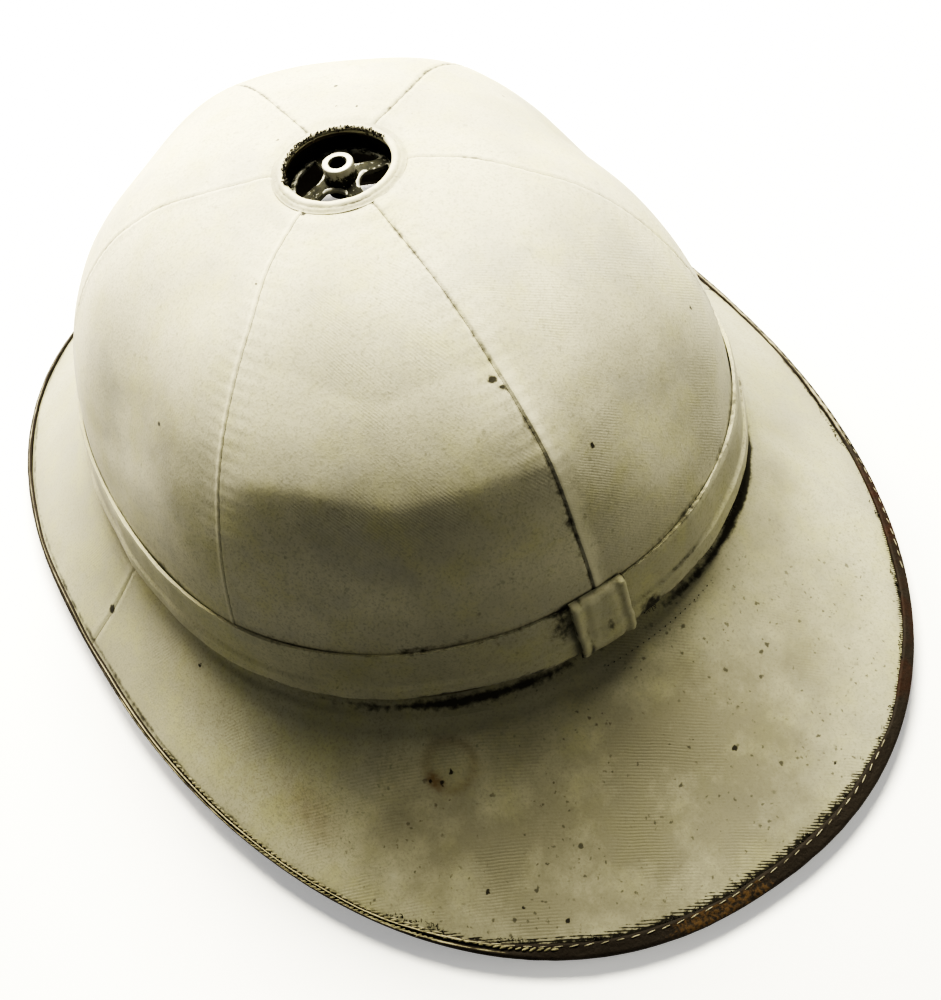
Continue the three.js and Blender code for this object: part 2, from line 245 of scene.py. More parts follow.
class Form:
    """The helmet's surfaces. Angles start at the middle of the rear and run toward +X."""

    def __init__(self, sizes):
        self.sizes = sizes
        self.axis_y = (sizes.brim_front_reach - sizes.brim_rear_reach) / 2 + 0.2 * MM
        self.mean_radius = math.sqrt(sizes.crown_half_width * sizes.crown_half_length)

    def foot_height(self, angle):
        """The height of the crown's foot."""
        s = self.sizes
        rear = np.cos(angle)
        end = np.where(rear > 0, s.foot_rear, s.foot_front)
        return end * rear**2 + s.foot_side * (1 - rear**2)

    def crown(self, rise, angle):
        """A point of the crown's cloth: rise 0 is the foot and a quarter turn the top."""
        s = self.sizes
        rise, angle = np.broadcast_arrays(rise, angle)
        turn = smooth(rise, 1.1, 1.4)
        side, rear = oval(angle, CROWN_PLAN_POWER)
        reach_x = mix(s.crown_half_width * side, self.mean_radius * np.sin(angle), turn)
        reach_y = mix(s.crown_half_length * rear, self.mean_radius * np.cos(angle), turn)
        shrink = np.maximum(np.cos(rise), 0) ** (2 / CROWN_SHOULDER_POWER)
        plan_x = np.abs(reach_x * shrink / s.crown_half_width) ** CROWN_PLAN_POWER
        plan_y = np.abs(reach_y * shrink / s.crown_half_length) ** CROWN_PLAN_POWER
        reach = (plan_x + plan_y) ** (1 / CROWN_PLAN_POWER)
        slope = np.arccos(np.minimum(reach ** (CROWN_SHOULDER_POWER / 2), 1))
        lift = np.sin(slope) ** (2 / CROWN_DOME_POWER)
        between = (1 - np.cos(PANELS * angle)) / 2
        flat = 1 - PANEL_FLATNESS * between * np.sin(2 * slope) ** 2
        foot = self.foot_height(angle)
        z = foot + (s.crown_top - foot) * lift
        y = self.axis_y + reach_y * shrink * flat
        return np.stack([reach_x * shrink * flat, y, z], -1)

    def brim(self, across, angle):
        """A point of the brim's cloth: across 0 is the crown's foot and across 1 the edge."""
        s = self.sizes
        across, angle = np.broadcast_arrays(across, angle)
        foot = self.crown(0.0, angle)
        behind = np.cos(angle) > 0
        rear_side, rear_back = oval(angle, BRIM_REAR_POWER)
        front_side, front_back = oval(angle, BRIM_FRONT_POWER)
        x = s.brim_half_width * np.where(behind, rear_side, front_side)
        rear_reach = s.brim_rear_reach * rear_back
        y = self.axis_y + np.where(behind, rear_reach, s.brim_front_reach * front_back)
        z = s.edge_height + s.side_arch * np.sin(angle) ** 2
        edge = np.stack([x, y, z], -1)
        width = np.linalg.norm(foot - edge, axis=-1)
        point = foot + (edge - foot) * across[..., None]
        point[..., 2] -= BRIM_SAG * width * np.sin(math.pi * np.clip(across, 0, 1))
        return point

    def brim_width(self, angle):
        """The length of the brim from the crown's foot to its edge."""
        return np.linalg.norm(self.brim(0.0, angle) - self.brim(1.0, angle), axis=-1)

    def normal(self, surface, along, angle):
        """The outward normal of a surface."""
        step = 0.004
        before = np.maximum(along - step, 0.001)
        ahead = surface(along + step, angle) - surface(before, angle)
        around = surface(along, angle + step) - surface(along, angle - step)
        out = np.cross(around, ahead)
        out /= np.linalg.norm(out, axis=-1, keepdims=True)
        return out * np.where(out[..., 2:] < 0, -1, 1)

    def moved(self, surface, along, angle, distance):
        """A point of a surface moved off it along its outward normal."""
        along, angle, distance = np.broadcast_arrays(along, angle, distance)
        out = self.normal(surface, along, angle)
        return surface(along, angle) + out * distance[..., None]

    def on_crown(self, rise, angle, off):
        """A point off the crown's cloth."""
        return self.moved(self.crown, rise, angle, off)

    def on_brim(self, across, angle, off):
        """A point off the brim's cloth."""
        return self.moved(self.brim, across, angle, off)

    def from_edge(self, distance, angle, off):
        """A point off the brim's cloth that lies a distance in from its edge."""
        return self.on_brim(1 - distance / self.brim_width(angle), angle, off)

    def rise_at_height(self, height, angle):
        """The rise at which the crown stands a height above its foot."""
        foot = self.foot_height(angle)
        lift = height / (self.sizes.crown_top - foot)
        return np.arcsin(lift ** (CROWN_DOME_POWER / 2))

    def radius_at_rise(self, rise):
        """The mean radius of the crown at a rise."""
        return self.mean_radius * np.cos(rise) ** (2 / CROWN_SHOULDER_POWER)

    def rise_at_radius(self, radius):
        """The rise at a mean radius."""
        return np.arccos((radius / self.mean_radius) ** (CROWN_SHOULDER_POWER / 2))

    def plan_angle(self, points):
        """The angle round the helmet of points."""
        return np.arctan2(points[..., 0], points[..., 1] - self.axis_y)


def patch_mask(points, table):
    """How dark a table of patches makes points, from 0 to 1: grime, and on the brim painted shade as well."""
    clean = np.ones(points.shape[:-1])
    for x, y, z, reach, strength in table:
        middle = np.array([x, y, z]) * MM
        distance = np.linalg.norm(points - middle, axis=-1) / (reach * MM)
        clean *= 1 - strength * np.exp(-0.5 * distance**2)
    return 1 - clean


def add_object(name, mesh, material):
    """Links a mesh into the scene as a piece that rides on the helmet."""
    piece = bpy.data.objects.new(name, mesh)
    bpy.context.scene.collection.objects.link(piece)
    materials = material if isinstance(material, (list, tuple)) else [material]
    for each in materials:
        mesh.materials.append(each)
    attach(piece, "root")
    return piece


def look_inward(points, faces):
    """Whether the four-sided faces of a closed solid look inward."""
    a, b, c, d = (points[faces[:, k]] for k in range(4))
    volume = np.einsum("ij,ij->", a, np.cross(b, c)) + np.einsum("ij,ij->", a, np.cross(c, d))
    return volume < 0


def store_mark(mesh, name, values):
    """Stores a number for each point of a mesh."""
    store = mesh.attributes.new(name, "FLOAT", "POINT")
    store.data.foreach_set("value", np.asarray(values, np.float32).ravel())


def sweep_mesh(name, sections, closed, uv, marks=None, sharp=40.0):
    """A closed solid swept through sections, each a loop of points. uv has one more row and
    column where the sweep closes. An open sweep gets end caps that pair the loop's two halves."""
    rows, cols = sections.shape[:2]
    spans = rows if closed else rows - 1
    i, j = np.meshgrid(np.arange(spans), np.arange(cols), indexing="ij")
    corners = [(i, j), (i, j + 1), (i + 1, j + 1), (i + 1, j)]
    faces = np.stack([((a % rows) * cols + b % cols).ravel() for a, b in corners], -1)
    face_uv = np.stack([uv[a, b].reshape(-1, 2) for a, b in corners], 1)
    if not closed:
        half = cols // 2
        low = np.arange(half - 1)
        high = cols - 1 - low
        caps = []
        cap_uv = []
        for row, flip in ((0, False), (rows - 1, True)):
            order = [low, high, high - 1, low + 1]
            if flip:
                order = order[::-1]
            caps.append(np.stack([row * cols + k for k in order], -1))
            cap_uv.append(np.stack([uv[row, k] for k in order], 1))
        faces = np.concatenate([faces, *caps])
        face_uv = np.concatenate([face_uv, *cap_uv])
    points = sections.reshape(-1, 3)
    if look_inward(points, faces):
        faces = faces[:, ::-1]
        face_uv = face_uv[:, ::-1]
    mesh = bpy.data.meshes.new(name)
    mesh.from_pydata(points.tolist(), [], faces.tolist())
    layer = mesh.uv_layers.new(name="weave")
    layer.data.foreach_set("uv", face_uv.astype(np.float32).ravel())
    for mark, values in (marks or {}).items():
        store_mark(mesh, mark, values)
    mesh.shade_smooth()
    mesh.set_sharp_from_angle(angle=math.radians(sharp))
    mesh.update()
    return mesh


def lengths_along(points, axis):
    """Running lengths along one axis of a grid of points."""
    steps = np.linalg.norm(np.diff(points, axis=axis), axis=-1)
    zero = np.zeros_like(np.take(steps, [0], axis=axis))
    return np.concatenate([zero, np.cumsum(steps, axis=axis)], axis=axis)


def sheet_area(grid):
    """The area of a grid of points in square metres."""
    across = grid[1:, :-1] - grid[:-1, :-1]
    up = grid[:-1, 1:] - grid[:-1, :-1]
    return float(np.linalg.norm(np.cross(across, up), axis=-1).sum())


def maths(operation, swapped=False):
    """A method that works out a Math node's operation on a value, and on another if one is given."""

    def method(self, *other):
        values = (*other, self) if swapped else (self, *other)
        return self.calc(operation, *values)

    return method


class Value:
    """A node socket that takes part in sums."""

    __add__ = maths("ADD")
    __radd__ = maths("ADD", True)
    __sub__ = maths("SUBTRACT")
    __rsub__ = maths("SUBTRACT", True)
    __mul__ = maths("MULTIPLY")
    __rmul__ = maths("MULTIPLY", True)
    sine = maths("SINE")
    least = maths("MINIMUM")
    most = maths("MAXIMUM")

    def __init__(self, nodes, socket):
        self.nodes = nodes
        self.socket = socket

    def __neg__(self):
        return self * -1.0

    def calc(self, operation, *values):
        """The result of a Math node."""
        node = self.nodes.tree.nodes.new("ShaderNodeMath")
        node.operation = operation
        for socket, value in zip(node.inputs, values):
            self.nodes.feed(socket, value)
        return Value(self.nodes, node.outputs[0])

    def clamped(self):
        """The value held between 0 and 1."""
        return self.least(1.0).most(0.0)

    def step(self, low, high):
        """A soft step from 0 at low to 1 at high."""
        node = self.nodes.add(
            "ShaderNodeMapRange",
            {"interpolation_type": "SMOOTHSTEP"},
            {"Value": self, "From Min": low, "From Max": high},
        )
        return Value(self.nodes, node.outputs[0])


class Nodes:
    """Makes the nodes of one material or node group."""

    def __init__(self, tree):
        self.tree = tree

    def feed(self, socket, value):
        """Links a value to a socket, or sets it."""
        if isinstance(value, Value):
            value = value.socket
        if isinstance(value, bpy.types.NodeSocket):
            self.tree.links.new(value, socket)
        else:
            socket.default_value = value

    def add(self, kind, settings=None, sockets=None):
        """Adds a node with its settings and socket values."""
        node = self.tree.nodes.new(kind)
        for name, value in (settings or {}).items():
            setattr(node, name, value)
        for name, value in (sockets or {}).items():
            self.feed(node.inputs[name], value)
        return node

    def value(self, node, output=0):
        """An output of a node as a value."""
        return Value(self, node.outputs[output])

    def noise(self, where, scale, detail=3.0, rough=0.55):
        """Soft noise from 0 to 1, with a scale in waves a metre."""
        sockets = {"Vector": where, "Scale": scale, "Detail": detail, "Roughness": rough}
        return self.value(self.add("ShaderNodeTexNoise", None, sockets), "Fac")

    def mark(self, name):
        """A value stored on the mesh."""
        return self.value(self.add("ShaderNodeAttribute", {"attribute_name": name}), "Fac")

    def blend(self, under, over, share):
        """One colour laid over another."""
        node = self.add("ShaderNodeMix", {"data_type": "RGBA"})
        self.feed(node.inputs[0], share)
        self.feed(node.inputs[6], under)
        self.feed(node.inputs[7], over)
        return node.outputs[2]

    def vector(self, operation, sockets):
        """The result of vector maths."""
        return self.add("ShaderNodeVectorMath", {"operation": operation}, sockets).outputs[0]

    def relief(self, shader, strength, distance, height):
        """Gives a shader a fine relief."""
        sockets = {"Strength": strength, "Distance": distance, "Height": height}
        bump = self.add("ShaderNodeBump", None, sockets)
        self.feed(shader.inputs["Normal"], bump.outputs[0])

    def dot(self, where, middle, reach):
        """1 at a place and 0 beyond its reach."""
        gap = self.add("ShaderNodeVectorMath", {"operation": "DISTANCE"}, {0: where, 1: middle})
        return 1.0 - self.value(gap, "Value").step(reach * 0.6, reach)


def colour(value, alpha=1.0):
    """A colour of four numbers from one of three."""
    return (value[0], value[1], value[2], alpha)


def shade(value, share):
    """A colour of four numbers, a share as light as one of three."""
    return colour([c * share for c in value])


def start_material(name):
    """A new material with its nodes, its shader and the place on the piece."""
    material = bpy.data.materials.new(name)
    material.use_nodes = True
    material.node_tree.nodes.clear()
    nodes = Nodes(material.node_tree)
    shader = nodes.add("ShaderNodeBsdfPrincipled")
    output = nodes.add("ShaderNodeOutputMaterial")
    nodes.feed(output.inputs["Surface"], shader.outputs[0])
    place = nodes.add("ShaderNodeTexCoord").outputs["Object"]
    return material, nodes, shader, place


def twill(nodes, place, rib_pitch):
    """The heights of the twill's diagonal ribs and of its yarns, from 0 to 1."""
    flat = nodes.add("ShaderNodeUVMap", {"uv_map": "weave"}).outputs[0]
    parts = nodes.add("ShaderNodeSeparateXYZ", None, {0: flat})
    u = nodes.value(parts, 0)
    v = nodes.value(parts, 1)
    wander = (nodes.noise(place, 90.0, 2.0) - 0.5) * 1.1 * MM
    across = (u + v) * DIAGONAL + wander
    along = (u - v) * DIAGONAL
    rib = (across * (TURN / rib_pitch)).sine() * 0.5 + 0.5
    yarn = (along * (TURN / (0.55 * MM)) + across * 2400.0).sine() * 0.5 + 0.5
    return rib, yarn


def jittered(nodes, place):
    """Places moved a little at random, so that dots come out ragged."""
    jitter = nodes.add("ShaderNodeTexNoise", None, {"Vector": place, "Scale": 700.0, "Detail": 3.0})
    shift = nodes.vector("SCALE", {0: jitter.outputs["Color"], "Scale": JITTER})
    return nodes.vector("ADD", {0: place, 1: shift})


def with_specks(nodes, tone, place, ragged, dirt_and_shade):
    """A colour with fine dark specks, where the mesh's marks say."""
    for scale, low, high, share in ((150.0, 0.07, 0.14, 0.85), (420.0, 0.1, 0.24, 0.7)):
        cells = {"Vector": ragged, "Scale": scale, "Randomness": 1.0}
        spots = nodes.value(nodes.add("ShaderNodeTexVoronoi", None, cells), "Distance")
        held = nodes.noise(place, scale * 0.3, 2.0).step(0.44, 0.6)
        speck = (1.0 - spots.step(low, high)) * held * nodes.mark("specks")
        tone = nodes.blend(tone, shade(dirt_and_shade, 0.4), speck.clamped() * share)
    return tone


def with_chips(nodes, tone, ragged, chips):
    """A colour with ragged black dots at given places."""
    for x, y, z, radius in chips:
        middle = [c * MM + JITTER / 2 for c in (x, y, z)]
        chip = nodes.dot(ragged, middle, radius * 1.25 * MM)
        tone = nodes.blend(tone, (0.012, 0.01, 0.008, 1.0), chip * 0.92)
    return tone


def cloth_material(name, base, dirt_and_shade, sizes, chips=(), relief=0.5, soil_and_shade=1.0):
    """Cotton twill with its diagonal ribs, with grime and painted shade laid on where the mesh's marks say.
    """
    material, nodes, shader, place = start_material(name)
    fuzz = nodes.noise(place, 1300.0, 2.0)
    coarse = nodes.noise(place, 480.0, 3.0, 0.6)
    mottle = nodes.noise(place, 55.0, 5.0, 0.7)
    rib, yarn = twill(nodes, place, sizes.rib_pitch)
    groove = 1.0 - rib.step(0.0, 0.55)
    soiled_and_shaded = nodes.mark("soil_and_shade") * soil_and_shade
    dirty_and_shaded = nodes.mark("dirt_and_shade")
    worn = nodes.mark("wear")
    patchy = nodes.noise(place, 34.0, 3.0, 0.6).step(0.46, 0.68)
    shown = patchy * 0.28 + soiled_and_shaded * patchy * 0.4 + 0.04
    height = rib.step(0.0, 0.9) * shown * 0.3 + yarn * rib * shown * 0.08 + fuzz * 0.34
    height = height + coarse * 0.16 + mottle * 0.6
    broad = nodes.noise(place, 13.0, 4.0, 0.6)
    middle = nodes.noise(place, 70.0, 5.0, 0.65)
    # Dark patches laid on by the mesh's mark: grime, and on the brim painted shade as well.
    smudge_and_shade = (soiled_and_shaded * (middle * 1.7 + 0.1)).clamped()
    tone = nodes.blend(colour(base), shade(base, 0.8), broad.step(0.42, 0.66))
    faded = [base[0] * 0.92, base[1] * 0.93, base[2] * 0.7]
    tone = nodes.blend(tone, colour(faded), mottle.step(0.42, 0.7) * 0.7)
    greyed = [base[0] * 0.78, base[1] * 0.79, base[2] * 0.88]
    tone = nodes.blend(tone, colour(greyed), nodes.noise(place, 38.0, 4.0, 0.62).step(0.5, 0.7) * 0.6)
    tone = nodes.blend(tone, shade(base, 0.6), fuzz.step(0.46, 0.75) * 0.6)
    tone = nodes.blend(tone, shade(base, 0.72), coarse.step(0.5, 0.72) * 0.4)
    tone = nodes.blend(tone, colour(dirt_and_shade), smudge_and_shade * 0.8)
    tone = nodes.blend(tone, colour(dirt_and_shade), (groove * (soiled_and_shaded * patchy - 0.02)).clamped() * 0.3)
    stained = (nodes.mark("stain") * (coarse * 1.8 + 0.2)).clamped()
    tone = nodes.blend(tone, (0.12, 0.078, 0.038, 1.0), stained * 0.85)
    fringe = nodes.mark("edge") * (groove * 0.5 + 0.75) + (coarse - 0.5) * 1.3
    tone = nodes.blend(tone, (0.014, 0.012, 0.009, 1.0), fringe.step(0.55, 0.8))
    # Ragged black where the mesh's mark says: dark seams and grime, and painted shade under the band and
    # beside the loop.
    broken = ((coarse - 0.5) * 1.3 + (middle - 0.5) * 2.2) * dirty_and_shaded.step(0.02, 0.2)
    black = (dirty_and_shaded * 1.8 + broken - 0.3).step(0.0, 0.9)
    tone = nodes.blend(tone, shade(dirt_and_shade, 0.3), black)
    ragged = jittered(nodes, place)
    tone = with_specks(nodes, tone, place, ragged, dirt_and_shade)
    rubbed = [min(c * 1.06, 0.95) for c in base]
    tone = nodes.blend(tone, colour(rubbed), (worn * (coarse + 0.2)).clamped())
    tone = with_chips(nodes, tone, ragged, chips)
    nodes.feed(shader.inputs["Base Color"], tone)
    shader.inputs["Roughness"].default_value = 0.92
    shader.inputs["Specular IOR Level"].default_value = 0.2
    shader.inputs["Sheen Weight"].default_value = 0.1
    nodes.relief(shader, relief, 0.35 * MM, height)
    return material


def leather_material(name, base, worn_colour):
    """Old leather, whitened or worn red where the mesh's marks say."""
    material, nodes, shader, place = start_material(name)
    grain = nodes.noise(place, 900.0, 4.0, 0.6)
    patch = nodes.noise(place, 90.0, 5.0, 0.65)
    broad = nodes.noise(place, 30.0, 3.0)
    pale = (nodes.mark("pale") * 1.5 + (patch - 0.5) * 1.6 - 0.3).step(0.0, 0.5)
    worn = (nodes.mark("worn") * 1.5 + (patch - 0.5) * 1.8 - 0.35).step(0.0, 0.6)
    rust = (nodes.mark("rust") * 1.5 + (grain - 0.5) * 1.8 - 0.35).step(0.0, 0.5)
    tone = nodes.blend(colour(base), shade(base, 2.6), (broad * grain * 1.4).clamped())
    tone = nodes.blend(tone, colour(worn_colour), worn)
    tone = nodes.blend(tone, (0.075, 0.045, 0.022, 1.0), rust * grain.step(0.38, 0.6))
    tone = nodes.blend(tone, (0.36, 0.33, 0.22, 1.0), pale * 0.85)
    nodes.feed(shader.inputs["Base Color"], tone)
    nodes.feed(shader.inputs["Roughness"], grain * 0.3 + 0.55)
    shader.inputs["Specular IOR Level"].default_value = 0.14
    nodes.relief(shader, 0.7, 0.4 * MM, grain + patch)
    return material


def pith_material(name, base, dark_lining):
    """Moulded pith, rough and a little lumpy, nearly black where it lines the vent."""
    material, nodes, shader, place = start_material(name)
    grain = nodes.noise(place, 700.0, 5.0, 0.65)
    patch = nodes.noise(place, 120.0, 4.0)
    dark = shade(base, 0.03 if dark_lining else 0.6)
    light = shade(base, 0.45 if dark_lining else 1.0)
    share = (patch * 1.2 + grain - 1.35).step(0.0, 0.4) if dark_lining else grain
    nodes.feed(shader.inputs["Base Color"], nodes.blend(dark, light, share))
    shader.inputs["Roughness"].default_value = 0.95
    nodes.relief(shader, 0.8, 0.8 * MM, grain + patch)
    return material


def metal_material(name, paint):
    """Olive paint, chipped to bare metal along the edges, with pale specks."""
    material, nodes, shader, place = start_material(name)
    grain = nodes.noise(place, 900.0, 4.0, 0.6)
    patch = nodes.noise(place, 520.0, 4.0, 0.65)
    bare = (nodes.mark("bare") * 1.6 + (patch - 0.5) * 1.6 - 0.45).step(0.0, 0.35)
    tone = nodes.blend(colour(paint), shade(paint, 0.4), patch.step(0.4, 0.6))
    tone = nodes.blend(tone, (0.6, 0.59, 0.52, 1.0), grain.step(0.61, 0.65) * 0.6)
    tone = nodes.blend(tone, (0.36, 0.355, 0.31, 1.0), bare)
    nodes.feed(shader.inputs["Base Color"], tone)
    nodes.feed(shader.inputs["Metallic"], bare * 0.4)
    nodes.feed(shader.inputs["Roughness"], 0.7 - bare * 0.25)
    shader.inputs["Specular IOR Level"].default_value = 0.22
    nodes.relief(shader, 0.5, 0.15 * MM, grain + patch)
    return material


def thread_material(name, tint):
    """Plain twisted thread."""
    material, nodes, shader, place = start_material(name)
    grain = nodes.noise(place, 500.0, 3.0)
    tone = nodes.blend(colour(tint), shade(tint, 0.35), grain.step(0.4, 0.75))
    nodes.feed(shader.inputs["Base Color"], tone)
    shader.inputs["Roughness"].default_value = 0.85
    return material


def crown_marks(form, points, rise, angle):
    """Relief of the crown's cloth and its stored marks, from the seams, the smudges and the painted shade
    under the lifted band.
    """
    radius = form.radius_at_rise(rise)
    nearest = np.round(angle / (TURN / PANELS)).astype(int)
    gap = (angle - nearest * TURN / PANELS) * radius / MM
    rows = np.array(CROWN_SEAMS)[nearest % PANELS]
    low = smooth(-rise, -1.3, -0.75)
    rear = (nearest % PANELS == 0).astype(float)
    apart = rows[..., 2]
    ahead = rows[..., 0] * bell(gap, apart, 0.5 * apart)
    behind = rows[..., 1] * bell(gap, -apart, 0.5 * apart)
    lap = 0.4 * smooth(-gap, 0.3, 0.9) * (1 - smooth(-gap, 3.6, 4.6)) * rear * mix(0.35, 1, low)
    groove = rows[..., 3] * bell(gap, 0, 0.42) * (1 - 0.5 * rear * low)
    pucker = 0.08 * np.sin(rise * 900 / PANELS) * bell(gap, 0, 5.5)
    off = (ahead + behind + lap - groove + pucker) * MM
    turn = in_degrees(angle)
    line = np.interp(turn, SHOULDER_ANGLES, SHOULDER_HEIGHTS)
    away = np.abs((points[..., 2] / MM - line) / 0.82)
    crest = np.maximum(1 - np.sqrt(away**2 + 3.0) / 26, 0)
    reach = smooth(turn, -9, 1) * (1 - smooth(turn, 50, 64))
    off += SHOULDER_CREST * crest * reach
    off += lumps(points, 46 * MM, 0.3 * MM, 11) + lumps(points, 15 * MM, 0.07 * MM, 12)
    off += 0.34 * MM * smooth(radius, 20.5 * MM, 21.2 * MM) * (1 - smooth(radius, 22 * MM, 30 * MM))
    off -= 0.9 * MM * bell(distance_to(points, CROWN_DENT), 0, 4.5)
    band_gap = (points[..., 2] - form.foot_height(angle)) / MM - form.sizes.band_height / MM
    soil_and_shade = patch_mask(points, CROWN_SMUDGES)
    soil_and_shade = 1 - (1 - soil_and_shade) * (1 - 0.3 * bell(band_gap, 0, 9))
    dirt_and_shade = rows[..., 4] * bell(gap, 0, 0.55) * 0.5 * (1 - 0.42 * rear * low)
    dirt_and_shade += rear * low * (0.2 * bell(gap, 0.3, 1.7) + 0.2 * bell(gap, -4.6, 1.2))
    dirt_and_shade += 0.25 * bell(band_gap, 1, 1.6)
    # Painted shade on the crown under the band, where the band has pulled up.
    dirt_and_shade += (1 - smooth(band_gap, -18, -15.5)) * bell(turn, 28, 18)
    wear = rear * low * bell(gap, -2.2, 0.9)
    wear += 0.8 * (nearest % PANELS == 1) * bell(gap, 0.9, 0.4)
    marks = {"soil_and_shade": soil_and_shade, "dirt_and_shade": dirt_and_shade, "wear": wear, "specks": 0.3 + 0 * soil_and_shade}
    return off, marks


def thick_grid(outer, inner):
    """Loops of points round a sheet, from its two faces."""
    return np.concatenate([outer, inner[:, ::-1]], axis=1)


def thick_marks(marks):
    """The marks of a sheet's outer face, used for both of its faces."""
    return {name: np.concatenate([m, m[:, ::-1]], axis=1) for name, m in marks.items()}


def sheet_uv(u, v):
    """A weave map for both faces of an open sheet."""
    grid = np.stack([u, v], -1)
    loop = np.concatenate([grid, grid[:, ::-1]], axis=1)
    return np.concatenate([loop, loop[:, :1]], axis=1)


def gore_angles(form, index, rises, edge_steps, middle_steps):
    """Angles of a gore's columns, close together by its seams, for each rise."""
    pitch = TURN / PANELS
    radius = form.radius_at_rise(rises)[None, :]
    near = np.array(edge_steps)[:, None] * MM / radius
    share = np.linspace(0, 1, middle_steps)[1:-1, None]
    first = near[-1:]
    middle = mix(first, pitch - first, share)
    return index * pitch + np.concatenate([near, middle, pitch - near[::-1]])


def make_gore(form, index, material):
    """One cloth gore of the crown."""
    s = form.sizes
    top = form.rise_at_radius(s.vent_radius + 2 * s.clearance)
    low = 0.045
    rises = low + (top - low) * np.linspace(0, 1, 110) ** 0.92
    steps = (0.06, 0.4, 0.85, 1.35, 1.95, 2.7, 3.7, 5.0, 6.6)
    angle = gore_angles(form, index, rises, steps, 46)
    rise = np.broadcast_to(rises[None, :], angle.shape)
    bare = form.crown(rise, angle)
    off, marks = crown_marks(form, bare, rise, angle)
    outer = form.on_crown(rise, angle, off)
    inner = form.on_crown(rise, angle, off - s.cloth)
    column = angle.shape[0] // 2
    down = lengths_along(bare[column : column + 1], 1)
    v = np.broadcast_to(down[:, -1:] - down, angle.shape)
    u = (angle - angle[column : column + 1]) * form.radius_at_rise(rise)
    name = f"crown_gore_{index + 1}"
    sections = thick_grid(outer, inner)
    mesh = sweep_mesh(name, sections, False, sheet_uv(u, v), thick_marks(marks))
    piece = add_object(name, mesh, material)
    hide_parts(f"crown_panel_{index + 1}")
    area = sheet_area(outer)
    width = float(np.linalg.norm(np.diff(outer[:, 0], axis=0), axis=-1).sum())
    length = float(down[0, -1])
    return piece, (width, length), area


def brim_marks(form, points, across, angle):
    """Relief of the brim's cloth and its stored marks."""
    width = form.brim_width(angle)
    inward = across * width / MM
    outward = width / MM - inward
    turn = in_degrees(angle)
    rear = smooth(turn, -24, -12) * (1 - smooth(turn, 30, 44))
    off = lumps(points, 60 * MM, 0.42 * MM, 21) + lumps(points, 18 * MM, 0.09 * MM, 22)
    by_loop = 1 - 0.75 * bell(turn, -3, 13)
    off += 0.5 * MM * bell(inward, 6.6, 0.8) * (0.35 + 0.65 * rear) * by_loop
    off -= 0.6 * MM * bell(inward, 3.9, 0.9) * by_loop
    off -= 0.25 * MM * bell(inward, 8.2, 0.5) * rear * by_loop
    side = (np.abs(turn) - 90) * form.sizes.brim_half_width * math.radians(1) / MM
    off += (0.14 * bell(side, 1.4, 0.7) + 0.06 * bell(side, -1.4, 0.7) - 0.08 * bell(side, 0, 0.5)) * MM
    # The brim's dark patches: partly grime and partly painted shade.
    soil_and_shade = patch_mask(points, BRIM_GRIME_AND_SHADE)
    soil_and_shade = 1 - (1 - soil_and_shade) * (1 - 0.3 * bell(outward, 0, 6))
    right = smooth(-turn, 8, 16) * (1 - smooth(-turn, 56, 70))
    # Painted shade in the crevice under the band's lower edge, darkest where the band stands open, and in a
    # line on the right.
    open_gap = 0.15 + 0.85 * np.maximum(bell(turn, 24, 11), np.maximum(bell(turn, -42, 9), 0.3 * right))
    dirt_and_shade = 0.7 * bell(inward, 2.6, 1.0) * open_gap + 0.1 * bell(inward, 3, 3.0) * open_gap
    dirt_and_shade += 0.9 * bell(inward, 4.4, 0.75) * bell(turn, -42, 8) + 0.4 * bell(inward, 3.7, 0.35) * right
    dirt_and_shade += 0.45 * bell(outward, 3.2, 0.7)
    dirt_and_shade += 0.14 * bell(side, 0, 0.5)
    specks = smooth(points[..., 1], 70 * MM, 130 * MM)
    lower = smooth(turn, -66, -50) * (1 - smooth(turn, 34, 52))
    low = smooth(turn, -30, -12) * (1 - smooth(turn, 24, 36))
    edge = lower * np.clip(1.1 - (outward - mix(3.6, 5.4, low)) / mix(3.4, 4.4, low), 0, 1.2)
    stretch = np.array([1, 0.5, 1])
    patch = distance_to(points * stretch, BROWN_STAIN * stretch)
    stain = 0.34 * bell(distance_to(points, RING_STAIN), 7.2, 1.0)
    stain += 0.85 * bell(distance_to(points, DARK_STAIN), 0, 1.5) + 0.3 * bell(patch, 0, 4.5)
    marks = {"soil_and_shade": soil_and_shade, "dirt_and_shade": dirt_and_shade, "wear": 0 * soil_and_shade, "specks": specks, "edge": edge, "stain": stain}
    return off, marks


def make_brim_cloth(form, half, material):
    """Half of the brim's top cloth: 0 is the rear and 1 the front."""
    s = form.sizes
    start = half * math.pi - math.pi / 2
    gap = s.clearance / 2 / s.brim_half_width
    even = np.linspace(start + 12 * gap, start + math.pi - 12 * gap, 301)
    near = start + gap * np.array([0.4, 3, 5.5, 8.5])
    angles = np.concatenate([near, even, 2 * start + math.pi - near[::-1]])
    edge = 1 - (1.0 * MM + s.clearance) / form.brim_width(angles)[:, None]
    across = np.linspace(0, 1, 64)[None, :] * edge
    angle = np.broadcast_to(angles[:, None], across.shape)
    bare = form.brim(across, angle)
    off, marks = brim_marks(form, bare, across, angle)
    outer = form.on_brim(across, angle, off)
    inner = form.on_brim(across, angle, off - s.cloth)
    lean = math.radians(59)
    over = bare[..., 0] * math.cos(lean) + bare[..., 1] * math.sin(lean)
    beside = bare[..., 1] * math.cos(lean) - bare[..., 0] * math.sin(lean)
    uv = sheet_uv((over + beside) * DIAGONAL, (over - beside) * DIAGONAL)
    name = ("brim_rear_cloth", "brim_front_cloth")[half]
    mesh = sweep_mesh(name, thick_grid(outer, inner), False, uv, thick_marks(marks))
    piece = add_object(name, mesh, material)
    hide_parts(("brim_cloth_rear", "brim_cloth_front")[half])
    return piece, sheet_area(outer)


